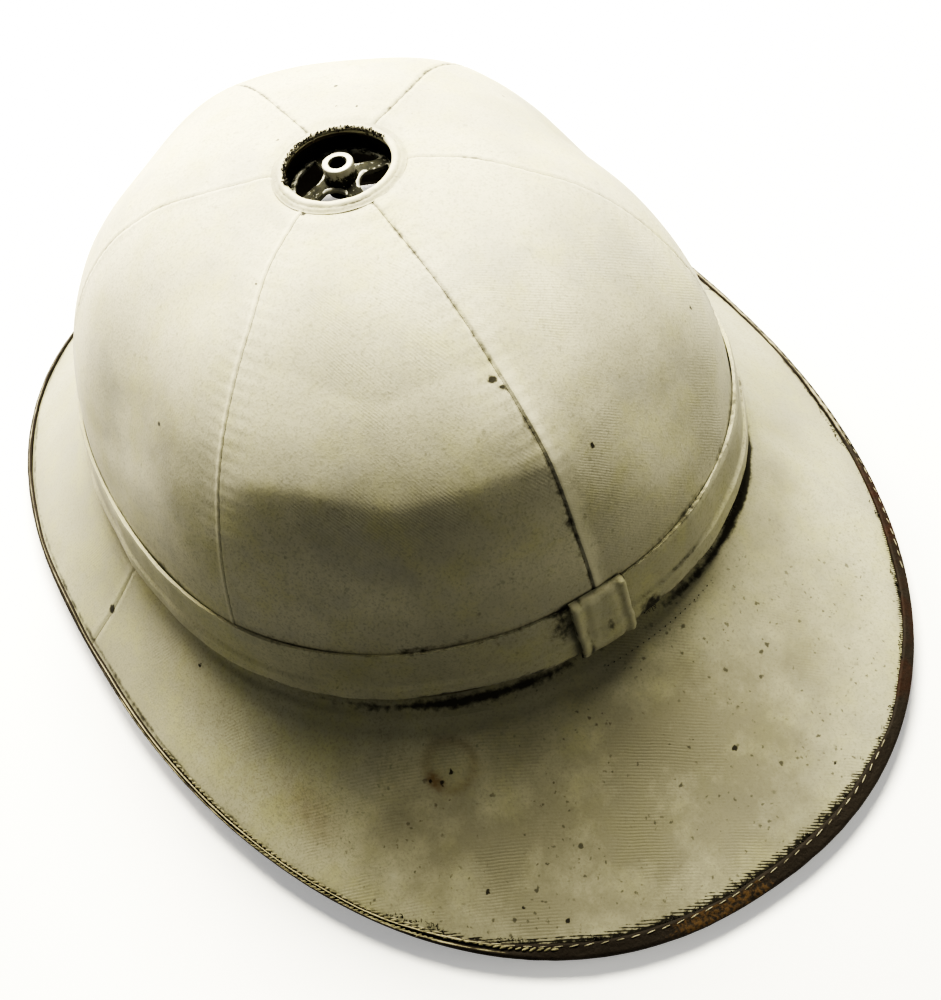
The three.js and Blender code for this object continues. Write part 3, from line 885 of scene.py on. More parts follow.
def make_shell(form, materials):
    """The moulded shell, crown and brim in one, with its rough vent hole."""
    s = form.sizes
    top = -(s.cloth + s.clearance) - 0.4 * MM
    inner = -(s.cloth + s.clearance) - s.crown_wall
    inset = 1.0 * MM + s.clearance
    hole = form.rise_at_radius(s.vent_radius + s.clearance)
    steps = 240
    angles = round_angles(steps)
    width = form.brim_width(angles)
    wall = (s.brim_wall_at_foot, s.brim_wall_at_edge)
    rows = [form.from_edge(inset, angles, top)]
    for a in np.linspace(0.94, 0.02, 18):
        rows.append(form.on_brim(a, angles, top - 1.1 * MM * (1 - smooth(a * width, 5 * MM, 9 * MM))))
    rows += [form.on_crown(r, angles, top) for r in np.linspace(0.04, 1.44, 34)]
    hole_top = form.on_crown(hole, angles, top)
    hole_bottom = form.on_crown(hole, angles, inner)
    hole_bottom[:, :2] = hole_top[:, :2]
    outward = hole_top - np.array([0, form.axis_y, 0])
    outward[:, 2] = 0
    outward /= np.linalg.norm(outward, axis=-1, keepdims=True)
    first_wall = len(rows)
    for share in np.linspace(0, 1, 12):
        row = mix(hole_top, hole_bottom, share)
        rows.append(row + outward * lumps(row, 5 * MM, 0.16 * MM, 31)[:, None] + outward * 0.2 * MM)
    last_wall = len(rows) - 1
    rows += [form.on_crown(r, angles, inner) for r in np.linspace(1.4, 0.05, 30)]
    under = top + 0.4 * MM
    rows.append(form.from_edge(width + 4.5 * MM, angles, under - s.brim_wall_at_foot))
    for a in np.linspace(0.12, 0.94, 10):
        rows.append(form.on_brim(a, angles, under - mix(*wall, a)))
    rows.append(form.from_edge(inset, angles, under - s.brim_wall_at_edge))
    sections = np.stack(rows, axis=1)
    count = sections.shape[1]
    uv = np.zeros((steps + 1, count + 1, 2))
    mesh = sweep_mesh("pith_shell", sections, True, uv)
    piece = add_object("pith_shell", mesh, materials)
    column = np.arange(len(mesh.polygons)) % count
    dark = (column >= first_wall) & (column < last_wall)
    mesh.polygons.foreach_set("material_index", dark.astype(np.int32))
    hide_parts("shell_body")
    return piece


def binding_rows(form, angles, turn, corded):
    """Rows of the leather's section: over the brim, round its edge, under it and back inside."""
    s = form.sizes
    broad = smooth(turn, -25, -35) * smooth(turn, -75, -55)
    rear = smooth(turn, -40, -18) * (1 - smooth(turn, 26, 50))
    slim = smooth(turn, 50, 80) * (1 - smooth(turn, 150, 175))
    strip = np.stack([angles, 0 * angles, 0 * angles], -1)
    lip = (3.0 + 1.6 * broad + 2.2 * rear - 0.8 * slim) * MM + lumps(strip, 0.12, 0.2 * MM, 41)
    over = s.clearance
    under = -(s.cloth + s.clearance + s.brim_wall_at_edge + s.clearance)
    drop = (s.brim_wall_at_foot - s.brim_wall_at_edge) * 6 * MM / form.brim_width(angles)
    thick = BINDING_LEATHER
    rows = []
    for share in np.linspace(1, 0.2, BINDING_TOP_ROWS):
        edge_fall = 0.35 * MM * smooth(share, 0.86, 1.0)
        bead = 0.35 * MM * bell(share, 0.8, 0.09) - 0.5 * MM * bell(share, 0.56, 0.09)
        bead = bead + 0.35 * MM * bell(share, 0.28, 0.12)
        rows.append(form.from_edge(lip * share, angles, over + thick - edge_fall + bead * corded))
    middle = (over + under) / 2
    half = (over - under) / 2 + thick
    for lean in np.linspace(0.5 * math.pi * 0.72, -0.5 * math.pi * 0.72, 11):
        out = 0.9 * MM * (1 - math.cos(lean) ** 0.6)
        rows.append(form.from_edge(out, angles, middle + half * np.sign(lean) * abs(math.sin(lean)) ** 0.8))
    lower = 6.0 * MM
    rows += [form.from_edge(lower * k, angles, under - thick - drop * k) for k in (0.25, 0.5, 0.75, 1.0)]
    rows += [form.from_edge(lower * k, angles, under - drop * k) for k in (1.0, 0.6)]
    rows += [form.from_edge(thick, angles, off) for off in (under, over)]
    rows += [form.from_edge(lip * k, angles, over) for k in (0.6, 1.0)]
    return np.stack(rows, axis=1)


def binding_marks(turn, across, corded):
    """The leather's stored marks: where it is pale, worn and brown."""
    on_top = (across < BINDING_TOP_ROWS).astype(float)
    beside = smooth(turn, 40, 60) * (1 - smooth(turn, 130, 160))
    pale = 0.62 * beside * on_top * bell(across, 3, 0.9)
    pale += 0.55 * corded[:, None] * on_top * (bell(across, 3, 1.3) + 0.8 * bell(across, 11, 1.0))
    pale += 0.5 * smooth(turn, -56, -68) * (turn < 0) * on_top * bell(across, 4, 2.5)
    worn = smooth(turn, -22, -36) * smooth(turn, -72, -56) * 0.4
    rust = bell(turn, 6.5, 4.2) * (across > 2) * (across <= BINDING_TOP_ROWS)
    return {"pale": pale, "worn": worn, "rust": rust}


def make_binding(form, material):
    """Leather folded round the brim's edge, over the cloth and under the shell."""
    steps = 720
    angles = round_angles(steps)
    turn = in_degrees(angles)
    corded = smooth(turn, 26, 38) * (1 - smooth(turn, 78, 92))
    sections = binding_rows(form, angles, turn, corded)
    count = sections.shape[1]
    wobble = lumps(sections, 7 * MM, 0.1 * MM, 42) + lumps(sections, 2.5 * MM, 0.05 * MM, 43)
    sections[..., 2] += wobble * (np.arange(count) < BINDING_SEEN_ROWS)
    turns = np.broadcast_to(turn[:, None], sections.shape[:2])
    across = np.broadcast_to(np.arange(count)[None, :], turns.shape)
    uv = np.zeros((steps + 1, count + 1, 2))
    mesh = sweep_mesh("edge_binding", sections, True, uv, binding_marks(turns, across, corded))
    piece = add_object("edge_binding", mesh, material)
    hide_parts("brim_binding")
    return piece


def band_layers(height):
    """How many layers of cloth the band has at a height in mm above the crown's foot."""
    fold = 1 - smooth(height, 7.6, 9.2)
    return 1.05 + 0.85 * fold + 0.1 * bell(height, 7.4, 0.8)


def band_lift(turn):
    """How far in mm the band's lower edge has pulled up, at angles in degrees."""
    right = smooth(-turn, 12, 26) * (1 - smooth(-turn, 58, 76))
    return 0.25 * right + 1.4 * bell(turn, -42, 8) + 2.7 * bell(turn, 30, 14) * smooth(turn, 5, 16)


def band_marks(height, turn):
    """The band's stored marks, with painted shade along its lower edge and beside the loop."""
    right = smooth(-turn, -6, 20) * (1 - smooth(-turn, 60, 100))
    left = smooth(turn, 48, 64) * (1 - smooth(turn, 130, 150))
    soil_and_shade = 0.2 + 0.08 * right + 0 * height
    # Painted shade along the lower edge; a dark line along the top edge and a darker line along the fold.
    dirt_and_shade = 0.4 * bell(height, 1.0, 1.4) + 0.28 * bell(height, 21, 0.5) * (1 - 0.7 * left)
    dirt_and_shade = dirt_and_shade + (0.06 + 0.22 * right) * bell(height, 8.4, 0.4)
    # Painted shade of the loop on the band, beside its edges.
    left_of_loop = 0.42 * bell(turn, 6.4, 1.3) * smooth(height, 7, 13)
    beyond = 0.3 * bell(turn, 8.6, 1.6) * bell(height, 14, 3)
    right_of_loop = 0.36 * bell(turn, -8.4, 1.7) * bell(height, 4.4, 2.4)
    dirt_and_shade = dirt_and_shade + left_of_loop + beyond + right_of_loop
    wear = 0.9 * bell(height, 20.4, 0.5) * left
    return {"soil_and_shade": soil_and_shade, "dirt_and_shade": dirt_and_shade, "wear": wear, "specks": 0.3 + 0 * dirt_and_shade}


def make_band(form, material):
    """The cloth band round the foot of the crown, with its fold."""
    s = form.sizes
    steps = 480
    angles = round_angles(steps)
    turn = in_degrees(angles)
    lift = band_lift(turn)
    top = 1.0 + s.band_height / MM
    heights = np.concatenate([np.linspace(1.0, 7.0, 9), np.linspace(7.4, 9.4, 6), np.linspace(10.4, top, 10)])
    rows = []
    hs = []
    for h in heights:
        thick = BAND_CLOTH * band_layers(h)
        round_off = 0.3 * MM * smooth(h, top - 0.9, top) + 0.5 * MM * (1 - smooth(h, 1.0, 2.2))
        bulge = 0.45 * MM * bell(h, 3.5, 2.0)
        place = h + lift * (1 - smooth(h, 1.0, 9.0))
        rise = form.rise_at_height(place * MM, angles)
        rows.append(form.on_crown(rise, angles, BAND_BASE + thick - round_off + bulge))
        hs.append(h)
    for h in np.linspace(top, 1.0, 10):
        place = h + lift * (1 - smooth(h, 1.0, 9.0))
        rows.append(form.on_crown(form.rise_at_height(place * MM, angles), angles, BAND_BASE))
        hs.append(h)
    sections = np.stack(rows, axis=1)
    out = form.normal(form.crown, np.full(angles.shape, 0.1), angles)
    wave = lumps(sections, 26 * MM, 0.22 * MM, 51) + lumps(sections, 9 * MM, 0.1 * MM, 52)
    shaped = (np.arange(sections.shape[1]) < len(heights)).astype(float)
    sections += out[:, None] * (wave * shaped)[..., None]
    height = np.broadcast_to(np.array(hs)[None, :], sections.shape[:2])
    marks = band_marks(height, np.broadcast_to(turn[:, None], height.shape))
    around = np.append(lengths_along(sections[:, :1], 0)[:, 0], 0.72)
    up = np.append(np.array(hs) * MM, hs[0] * MM)
    uv = np.stack(np.meshgrid(around, -up, indexing="ij"), -1)
    mesh = sweep_mesh("folded_band", sections, True, uv, marks)
    piece = add_object("folded_band", mesh, material)
    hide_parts("hat_band")
    return piece


def loop_faces(form, angles, across):
    """The outer and the inner face of the keeper loop, which closes over the band's top."""
    s = form.sizes
    top = 1.0 + s.band_height / MM
    side = np.abs(across)
    fold = 0.32 * MM * bell(across, 0.84, 0.1) + 0.5 * MM * bell(across, -0.86, 0.09)
    fold -= 0.25 * MM * bell(across, 0.58, 0.1) + 0.3 * MM * bell(across, -0.62, 0.1)
    fold -= 0.5 * MM * smooth(side, 0.93, 1.0)
    outer = []
    inner = []
    for h in np.linspace(1.0, top, 34):
        under = BAND_BASE + BAND_CLOTH * band_layers(h) + 0.45 * MM * bell(h, 3.5, 2.0) + s.clearance
        rise = form.rise_at_height(max(h - 0.6 * (h < 1.5), 0.4) * MM, angles)
        round_off = 0.4 * MM * (1 - smooth(h, 1.0, 2.4)) + 0.5 * MM * smooth(h, top - 1.6, top)
        belly = 0.35 * MM * math.sin(math.pi * min(h / top, 1)) * np.cos(across * math.pi / 2)
        outer.append(form.on_crown(rise, angles, under + s.loop_cloth + fold + belly - round_off))
        inner.append(form.on_crown(rise, angles, under))
    over_band = BAND_BASE + BAND_CLOTH
    for rows, above, off in (
        (inner, 0.3, over_band),
        (inner, 0.3, 0.35 * MM),
        (outer, 0.6, over_band + s.loop_cloth * 0.4 + fold * 0.4),
        (outer, 0.9, 0.6 * MM),
    ):
        rows.append(form.on_crown(form.rise_at_height((top + above) * MM, angles), angles, off))
    return np.stack(outer, axis=1), np.stack(inner, axis=1)


def loop_marks(across, height):
    """The keeper loop's stored marks: painted shade in its creases and at its folded sides, dark lines along
    its top and bottom, a patch of grime in the middle and rubbed folds.
    """
    side = np.abs(across)
    # Painted shade in the creases and at the folded sides; the patch in the middle is grime.
    dark = 0.2 * bell(height, 1, 1.5) + 0.45 * smooth(side, 0.93, 1.0)[:, None] + 0 * height
    dark = dark + 0.35 * bell(across, 0.64, 0.06)[:, None] + 0.35 * bell(height, 22, 0.8)
    dark = dark + 0.5 * bell(across, -0.12, 0.14)[:, None] * bell(height, 8, 3)
    dark = dark + 0.3 * bell(across, -0.6, 0.1)[:, None] * bell(height, 12, 7)
    wear = 0.5 * bell(across, 0.84, 0.06) + 0.4 * bell(across, -0.86, 0.06) + 0.5 * bell(across, 0.35, 0.14)
    soil_and_shade = np.full(height.shape, 0.3)
    return {"soil_and_shade": soil_and_shade, "dirt_and_shade": dark, "wear": wear[:, None] + 0 * height, "specks": 0.3 + 0 * soil_and_shade}


def make_loop(form, material):
    """The keeper loop at the rear, over the band."""
    s = form.sizes
    half = s.loop_width / 2 / s.crown_half_length
    angles = np.linspace(-half, half, 41)
    across = np.linspace(-1, 1, 41)
    outer, inner = loop_faces(form, angles, across)
    wave = lumps(outer, 7 * MM, 0.12 * MM, 61) + lumps(outer, 3 * MM, 0.05 * MM, 62)
    out = form.normal(form.crown, np.full(angles.shape, 0.1), angles)
    outer += out[:, None] * wave[..., None]
    height = np.broadcast_to(np.linspace(1, 22, outer.shape[1])[None, :], outer.shape[:2])
    along = np.broadcast_to((angles * s.crown_half_length)[:, None], height.shape)
    uv = sheet_uv(along, -height * MM)
    marks = thick_marks(loop_marks(across, height))
    mesh = sweep_mesh("keeper_loop", thick_grid(outer, inner), False, uv, marks)
    piece = add_object("keeper_loop", mesh, material)
    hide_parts("band_loop")
    return piece


def make_vent_ring(form, material):
    """The cloth-covered ring round the vent, with its rolled inner edge."""
    s = form.sizes
    steps = 180
    angles = round_angles(steps)
    shares = np.linspace(0, 1, 17)
    rows = []
    for share in shares:
        radius = mix(s.vent_radius, s.vent_ring_outer, share)
        roll = math.sqrt(max(1 - (1 - min(share / 0.36, 1)) ** 2, 0))
        height = mix(0.45, 1.0, roll) * MM - 0.94 * MM * float(smooth(share, 0.3, 0.98))
        height -= 0.22 * MM * float(bell(share, 0.58, 0.06))
        rise = form.rise_at_radius(radius)
        sag = 0.2 * MM * float(smooth(share, 0.7, 1.0))
        rows.append(form.on_crown(rise, angles, s.clearance + height - sag))
    for share in (1.0, 0.5, 0.0):
        rise = form.rise_at_radius(mix(s.vent_radius, s.vent_ring_outer, share))
        rows.append(form.on_crown(rise, angles, s.clearance - 0.18 * MM * (share == 1.0)))
    sections = np.stack(rows, axis=1)
    count = sections.shape[1]
    wave = lumps(sections, 5 * MM, 0.08 * MM, 71) + lumps(sections, 1.8 * MM, 0.04 * MM, 72)
    sections[..., 2] += wave * (np.arange(count) < 17)
    turn = np.degrees(angles)[:, None]
    share = np.append(shares, [1.0, 0.5, 0.0])[None, :]
    near = bell(((turn + 180) % 360) - 180, 20, 60)
    dirt_and_shade = 0.1 * bell(share, 1.0, 0.08) + 0.15 * bell(share, 0.0, 0.1) + 0 * turn
    dirt_and_shade = dirt_and_shade + (0.14 + 0.3 * near) * bell(share, 0.58, 0.05)
    far = smooth(np.abs(turn - 180), 110, 60)
    dirt_and_shade = dirt_and_shade + far * 0.9 * bell(share, 0.05, 0.16)
    soil_and_shade = 0.2 + 0.3 * far + 0 * share
    marks = {"soil_and_shade": soil_and_shade, "dirt_and_shade": dirt_and_shade, "wear": bell(share, 0.22, 0.14) + 0 * turn, "specks": 0.4 + 0 * soil_and_shade}
    around = np.linspace(0, TURN * s.vent_radius, steps + 1)
    uv = np.stack(np.meshgrid(around, np.linspace(0, 0.01, count + 1), indexing="ij"), -1)
    mesh = sweep_mesh("vent_collar", sections, True, uv, marks)
    piece = add_object("vent_collar", mesh, material)
    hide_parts("vent_ring")
    return piece


def path_object(name, points, out):
    """A line of points that carries the outward direction at each point."""
    mesh = bpy.data.meshes.new(name)
    edges = [(k, k + 1) for k in range(len(points) - 1)]
    mesh.from_pydata(points.tolist(), edges, [])
    store = mesh.attributes.new("out", "FLOAT_VECTOR", "POINT")
    store.data.foreach_set("vector", out.astype(np.float32).ravel())
    holder = bpy.data.objects.new(name, mesh)
    bpy.context.scene.collection.objects.link(holder)
    return holder


def new_group(name, inputs):
    """A geometry node group with a geometry input and named inputs."""
    tree = bpy.data.node_groups.new(name, "GeometryNodeTree")
    tree.interface.new_socket("Geometry", in_out="INPUT", socket_type="NodeSocketGeometry")
    for title, kind in inputs:
        tree.interface.new_socket(title, in_out="INPUT", socket_type=kind)
    tree.interface.new_socket("Geometry", in_out="OUTPUT", socket_type="NodeSocketGeometry")
    nodes = Nodes(tree)
    return tree, nodes, nodes.add("NodeGroupInput").outputs


def thread_facing(nodes, given):
    """The turn of each thread: along its path and outward, with a lean and a random spread."""
    out = nodes.add("GeometryNodeInputNamedAttribute", {"data_type": "FLOAT_VECTOR"}, {"Name": "out"})
    along = nodes.add("GeometryNodeInputTangent")
    axes = {"primary_axis": "Z", "secondary_axis": "X"}
    facing = nodes.add("FunctionNodeAxesToRotation", axes, {0: out.outputs[0], 1: along.outputs[0]})
    spread = Value(nodes, given["Spread"])
    low = nodes.add("ShaderNodeCombineXYZ", None, {k: -spread for k in range(3)})
    high = nodes.add("ShaderNodeCombineXYZ", None, {k: spread for k in range(3)})
    limits = {0: low.outputs[0], 1: high.outputs[0], "Seed": given["Seed"]}
    wild = nodes.add("FunctionNodeRandomValue", {"data_type": "FLOAT_VECTOR"}, limits)
    lean = nodes.add("ShaderNodeCombineXYZ", None, {2: given["Lean"]})
    total = nodes.vector("ADD", {0: wild.outputs[0], 1: lean.outputs[0]})
    turned = nodes.add("FunctionNodeEulerToRotation", None, {0: total})
    both = {0: facing.outputs[0], 1: turned.outputs[0]}
    return nodes.add("FunctionNodeRotateRotation", {"rotation_space": "LOCAL"}, both).outputs[0]


def thread_shape(nodes, bent, length, thickness):
    """One thread: a bent loose end, or a plain stitch."""
    if bent:
        root = nodes.add("ShaderNodeCombineXYZ")
        pull = nodes.add("ShaderNodeCombineXYZ", None, {0: length * 0.15, 1: length * 0.3, 2: length * 0.6})
        tip = nodes.add("ShaderNodeCombineXYZ", None, {0: length * 0.5, 2: length * 0.35})
        ends = {"Resolution": 5, "Start": root.outputs[0], "Middle": pull.outputs[0], "End": tip.outputs[0]}
        arc = nodes.add("GeometryNodeCurveQuadraticBezier", None, ends)
        girth = {"Resolution": 4, "Radius": thickness * 0.5}
        ring = nodes.add("GeometryNodeCurvePrimitiveCircle", None, girth)
        swept = {"Curve": arc.outputs[0], "Profile Curve": ring.outputs[0], "Fill Caps": True}
        return nodes.add("GeometryNodeCurveToMesh", None, swept).outputs[0]
    ball = nodes.add("GeometryNodeMeshUVSphere", None, {"Segments": 10, "Rings": 6, "Radius": 0.5})
    stretch = nodes.add("ShaderNodeCombineXYZ", None, {0: length, 1: thickness, 2: thickness * 0.8})
    stretched = {"Geometry": ball.outputs[0], "Scale": stretch.outputs[0]}
    return nodes.add("GeometryNodeTransform", None, stretched).outputs[0]


def row_group(name, bent):
    """A node group that lays threads along a path: plain stitches, or bent loose ends."""
    inputs = [(title, "NodeSocketFloat") for title in ("Pitch", "Length", "Thickness", "Spread", "Lean")]
    inputs += [("Seed", "NodeSocketInt"), ("Material", "NodeSocketMaterial")]
    tree, nodes, given = new_group(name, inputs)
    curve = nodes.add("GeometryNodeMeshToCurve", None, {"Mesh": given["Geometry"]})
    pitch = {"Curve": curve.outputs[0], "Length": given["Pitch"]}
    spaced = nodes.add("GeometryNodeResampleCurve", {"mode": "LENGTH"}, pitch)
    sizes = {"Seed": given["Seed"], 2: 0.5 if bent else 0.8, 3: 1.3 if bent else 1.1}
    change = nodes.add("FunctionNodeRandomValue", {"data_type": "FLOAT"}, sizes)
    length = Value(nodes, given["Length"])
    thickness = Value(nodes, given["Thickness"])
    placing = {
        "Points": spaced.outputs[0],
        "Instance": thread_shape(nodes, bent, length, thickness),
        "Rotation": thread_facing(nodes, given),
        "Scale": change.outputs[1],
    }
    laid = nodes.add("GeometryNodeInstanceOnPoints", None, placing)
    real = nodes.add("GeometryNodeRealizeInstances", None, {0: laid.outputs[0]})
    rounded = nodes.add("GeometryNodeSetShadeSmooth", None, {0: real.outputs[0]})
    dye = {"Geometry": rounded.outputs[0], "Material": given["Material"]}
    dyed = nodes.add("GeometryNodeSetMaterial", None, dye)
    nodes.add("NodeGroupOutput", None, {0: dyed.outputs[0]})
    return tree


def lay_threads(name, group, points, out, settings, material):
    """Threads laid along a path by a node group, as a plain mesh."""
    holder = path_object(name, points, out)
    modifier = holder.modifiers.new("threads", "NODES")
    modifier.node_group = group
    values = {**settings, "Material": material}
    for item in group.interface.items_tree:
        if item.in_out == "INPUT" and item.name in values:
            modifier[item.identifier] = values[item.name]
    bpy.context.view_layer.update()
    evaluated = holder.evaluated_get(bpy.context.evaluated_depsgraph_get())
    mesh = bpy.data.meshes.new_from_object(evaluated)
    line = holder.data
    bpy.data.objects.remove(holder)
    bpy.data.meshes.remove(line)
    if not mesh.polygons:
        raise RuntimeError(f"{name}: no threads were laid")
    mesh.name = name
    mesh.materials.clear()
    return add_object(name, mesh, material)


def thread_settings(pitch, length, thickness, spread, lean, seed):
    """The inputs of a row of threads, its sizes given in mm."""
    return {
        "Pitch": pitch * MM,
        "Length": length * MM,
        "Thickness": thickness * MM,
        "Spread": spread,
        "Lean": lean,
        "Seed": seed,
    }


def sew_binding(form, group, threads):
    """The stitches and cords that lie on the leather."""
    top = form.sizes.clearance + BINDING_LEATHER
    for name, row in SEWN_ROWS.items():
        first, last, count, distance, lift = row[:5]
        angles = np.radians(np.linspace(first, last, count))
        points = form.from_edge(distance * MM, angles, top + lift * MM)
        out = form.normal(form.brim, 1 - distance * MM / form.brim_width(angles), angles)
        lay_threads(name, group, points, out, thread_settings(*row[5:11]), threads[row[11]])


def fray_binding(form, group, thread):
    """The dark fringe along the inner edge of the leather."""
    angles = np.radians(np.linspace(-72, 46, 700))
    distance = 5.4 + 1.2 * np.sin(angles * 37) + 0.6 * np.sin(angles * 83)
    points = form.from_edge((distance - 0.6) * MM, angles, -0.1 * MM)
    out = form.normal(form.brim, 1 - distance * MM / form.brim_width(angles), angles)
    settings = thread_settings(0.75, 1.9, 0.22, 1.5, 0.0, 13)
    lay_threads("frayed_binding_edge", group, points, out, settings, thread)


def make_needle_marks(form, group, thread):
    """The row of needle marks on the brim by the band."""
    angles = np.radians(np.linspace(-30, 2, 200))
    across = 8.2 * MM / form.brim_width(angles)
    points = form.on_brim(across, angles, -0.1 * MM)
    out = form.normal(form.brim, across, angles)
    lay_threads("needle_marks", group, points, out, thread_settings(2.1, 0.6, 0.3, 0.1, 0.3, 7), thread)


def fray_band(form, group, thread):
    """The loose ends at the band's lower edge."""
    for name, (first, last, pitch, length) in BAND_FRAYS.items():
        angles = np.radians(np.linspace(first, last, 60))
        rise = form.rise_at_height(2.0 * MM, angles)
        points = form.on_crown(rise, angles, 2.7 * MM)
        out = form.normal(form.crown, rise, angles)
        lay_threads(name, group, points, out, thread_settings(pitch, length, 0.16, 1.2, 0.0, 9), thread)


def fray_vent(form, group, thread):
    """The torn cloth at the far side of the vent."""
    angles = np.radians(np.linspace(95, 265, 400))
    rise = form.rise_at_radius(form.sizes.vent_radius + 0.35 * MM)
    points = form.on_crown(rise, angles, 0.95 * MM)
    out = np.stack([-np.sin(angles) * 0.2, -np.cos(angles) * 0.2, np.full(angles.shape, 0.95)], -1)
    settings = thread_settings(0.22, 1.5, 0.34, 1.3, 0.0, 11)
    lay_threads("frayed_vent_edge", group, points, out, settings, thread)


def make_threads(form, threads):
    """All stitches, cords, needle marks and loose ends."""
    sewn = row_group("sewn_row", False)
    frayed = row_group("frayed_row", True)
    sew_binding(form, sewn, threads)
    fray_binding(form, frayed, threads["dark"])
    make_needle_marks(form, sewn, threads["dark"])
    fray_band(form, frayed, threads["dark"])
    fray_vent(form, frayed, threads["dark"])


def window_outline(s, turn):
    """The outline of one opening of the spider, with a hollow curve by the hub."""
    rim = s.vent_radius - 1.6 * MM
    lean = math.asin(2.2 * MM / rim)
    hub = 6.2 * MM
    hub_lean = math.asin(2.2 * MM / hub)
    quarter = TURN / 4
    arc = np.linspace(turn + lean, turn + quarter - lean, 25)
    points = [(rim * math.cos(a), rim * math.sin(a)) for a in arc]

    def at(radius, angle):
        return np.array([radius * math.cos(angle), radius * math.sin(angle)])

    first = at(hub + 1 * MM, turn + quarter - hub_lean)
    last = at(hub + 1 * MM, turn + hub_lean)
    pull = at(hub - 1 * MM, turn + quarter / 2)
    for t in np.linspace(0, 1, 13):
        points.append(tuple((1 - t) ** 2 * first + 2 * t * (1 - t) * pull + t**2 * last))
    return points


def plate_mesh(outlines, top, thick):
    """A flat plate with rounded edges inside its first outline and outside the others. It gives
    the points, the faces and each point's distance from the nearest outline."""
    border = np.concatenate([np.array(o) for o in outlines])
    edges = []
    start = 0
    for outline in outlines:
        count = len(outline)
        edges += [(start + k, start + (k + 1) % count) for k in range(count)]
        start += count
    fill = np.arange(-16.5, 16.6, 0.42) * MM
    grid = np.stack(np.meshgrid(fill, fill), -1).reshape(-1, 2)
    clear = np.linalg.norm(grid[:, None] - border[None], axis=-1).min(1)
    grid = grid[clear > 0.25 * MM]
    given = [Vector(p) for p in np.concatenate([border, grid]).tolist()]
    flat, _, faces, _, _, _ = delaunay_2d_cdt(given, edges, [], 0, 1e-7)
    flat = np.array([tuple(p) for p in flat])
    kept = []
    for face in faces:
        middle = flat[list(face)].mean(0)
        crossings = sum(inside_outline(middle, outline) for outline in outlines)
        if crossings == 1:
            kept.append(list(face))
    edge = np.linalg.norm(flat[:, None] - border[None], axis=-1).min(1)
    fall = 0.3 * MM * (1 - np.minimum(edge / (0.45 * MM), 1)) ** 2
    high = np.column_stack([flat, top - fall])
    low = np.column_stack([flat, top - thick + fall])
    count = len(flat)
    all_faces = [f for f in kept] + [[v + count for v in f[::-1]] for f in kept]
    used = {}
    for face in kept:
        for a, b in zip(face, face[1:] + face[:1]):
            used[(a, b)] = True
    for a, b in used:
        if (b, a) not in used:
            all_faces.append([b, a, a + count, b + count])
    return np.concatenate([high, low]), all_faces, np.concatenate([edge, edge])


def inside_outline(point, outline):
    """Whether a point lies inside an outline."""
    line = np.array(outline)
    after = np.roll(line, -1, axis=0)
    spans = (line[:, 1] > point[1]) != (after[:, 1] > point[1])
    rise = np.where(spans, after[:, 1] - line[:, 1], 1.0)
    cross = line[:, 0] + (point[1] - line[:, 1]) * (after[:, 0] - line[:, 0]) / rise
    return int((spans & (point[0] < cross)).sum() % 2)


def boss_solid(plate_top, plate_bottom, top):
    """The hollow boss with its threaded bore: its points, its faces and how bare its metal is."""
    hub_top = plate_top + HUB_RISE
    low = plate_bottom - 1.0 * MM
    bore = 2.6 * MM
    side = 4.7 * MM
    chamfer = 0.35 * MM
    profile = [(bore, low), (side, low), (side, hub_top - 0.2 * MM), (side + 0.5 * MM, hub_top)]
    profile += [(side + 0.12 * MM, hub_top + 0.4 * MM), (side, hub_top + 0.9 * MM)]
    profile += [(side, top - chamfer), (side - 0.15 * MM, top - 0.1 * MM), (side - chamfer, top)]
    profile += [(bore + chamfer, top), (bore, top - chamfer)]
    depth = top - chamfer - 0.4 * MM
    while depth > low + 1.0 * MM:
        profile += [(bore - 0.2 * MM, depth), (bore, depth - 0.35 * MM)]
        depth -= 0.7 * MM
    steps = 64
    ring = round_angles(steps)[:, None]
    radius, height = np.array(profile).T[:, None, :]
    across = np.broadcast_arrays(np.cos(ring) * radius, np.sin(ring) * radius, height)
    points = np.stack(across, -1).reshape(-1, 3)
    count = len(profile)
    i, j = np.meshgrid(np.arange(steps), np.arange(count), indexing="ij")
    corners = [(i, j), (i + 1, j), (i + 1, j + 1), (i, j + 1)]
    faces = np.stack([((a % steps) * count + b % count).ravel() for a, b in corners], -1)
    if look_inward(points, faces):
        faces = faces[:, ::-1]
    bare = mix(0.2, 0.58, smooth(points[:, 2], top - 4.8 * MM, top - 3.4 * MM))
    bare *= smooth(np.linalg.norm(points[:, :2], axis=-1), bore, bore + 0.3 * MM)
    return points, faces, bare


def make_spider(form, material):
    """The metal spider: a ring with four spokes and a hollow boss."""
    s = form.sizes
    plate_top = s.crown_top - 6 * MM
    thick = 1.6 * MM
    rim = s.vent_radius - 0.05 * MM
    outlines = [[(rim * math.cos(a), rim * math.sin(a)) for a in round_angles(96)]]
    outlines += [window_outline(s, k * TURN / 4) for k in range(4)]
    points, plate_faces, edge = plate_mesh(outlines, plate_top, thick)
    reach = np.linalg.norm(points[:, :2], axis=-1)
    points[:, 2] += HUB_RISE * (1 - smooth(reach, 5 * MM, 13 * MM))
    boss_points, boss_faces, bare_boss = boss_solid(plate_top, plate_top - thick, s.crown_top + BOSS_RISE)
    inside = 1 - 0.55 * smooth(reach, 12.5 * MM, 14 * MM)
    bare_plate = 0.95 * (1 - smooth(edge, 0.4 * MM, 1.3 * MM)) * inside
    all_points = np.concatenate([points, boss_points])
    all_points[:, 1] += form.axis_y
    faces = plate_faces + (boss_faces + len(points)).tolist()
    mesh = bpy.data.meshes.new("vent_fitting")
    mesh.from_pydata(all_points.tolist(), [], faces)
    store_mark(mesh, "bare", np.concatenate([bare_plate, bare_boss]))
    mesh.shade_smooth()
    mesh.set_sharp_from_angle(angle=math.radians(35))
    piece = add_object("vent_fitting", mesh, material)
    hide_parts("vent_spider")
    return piece


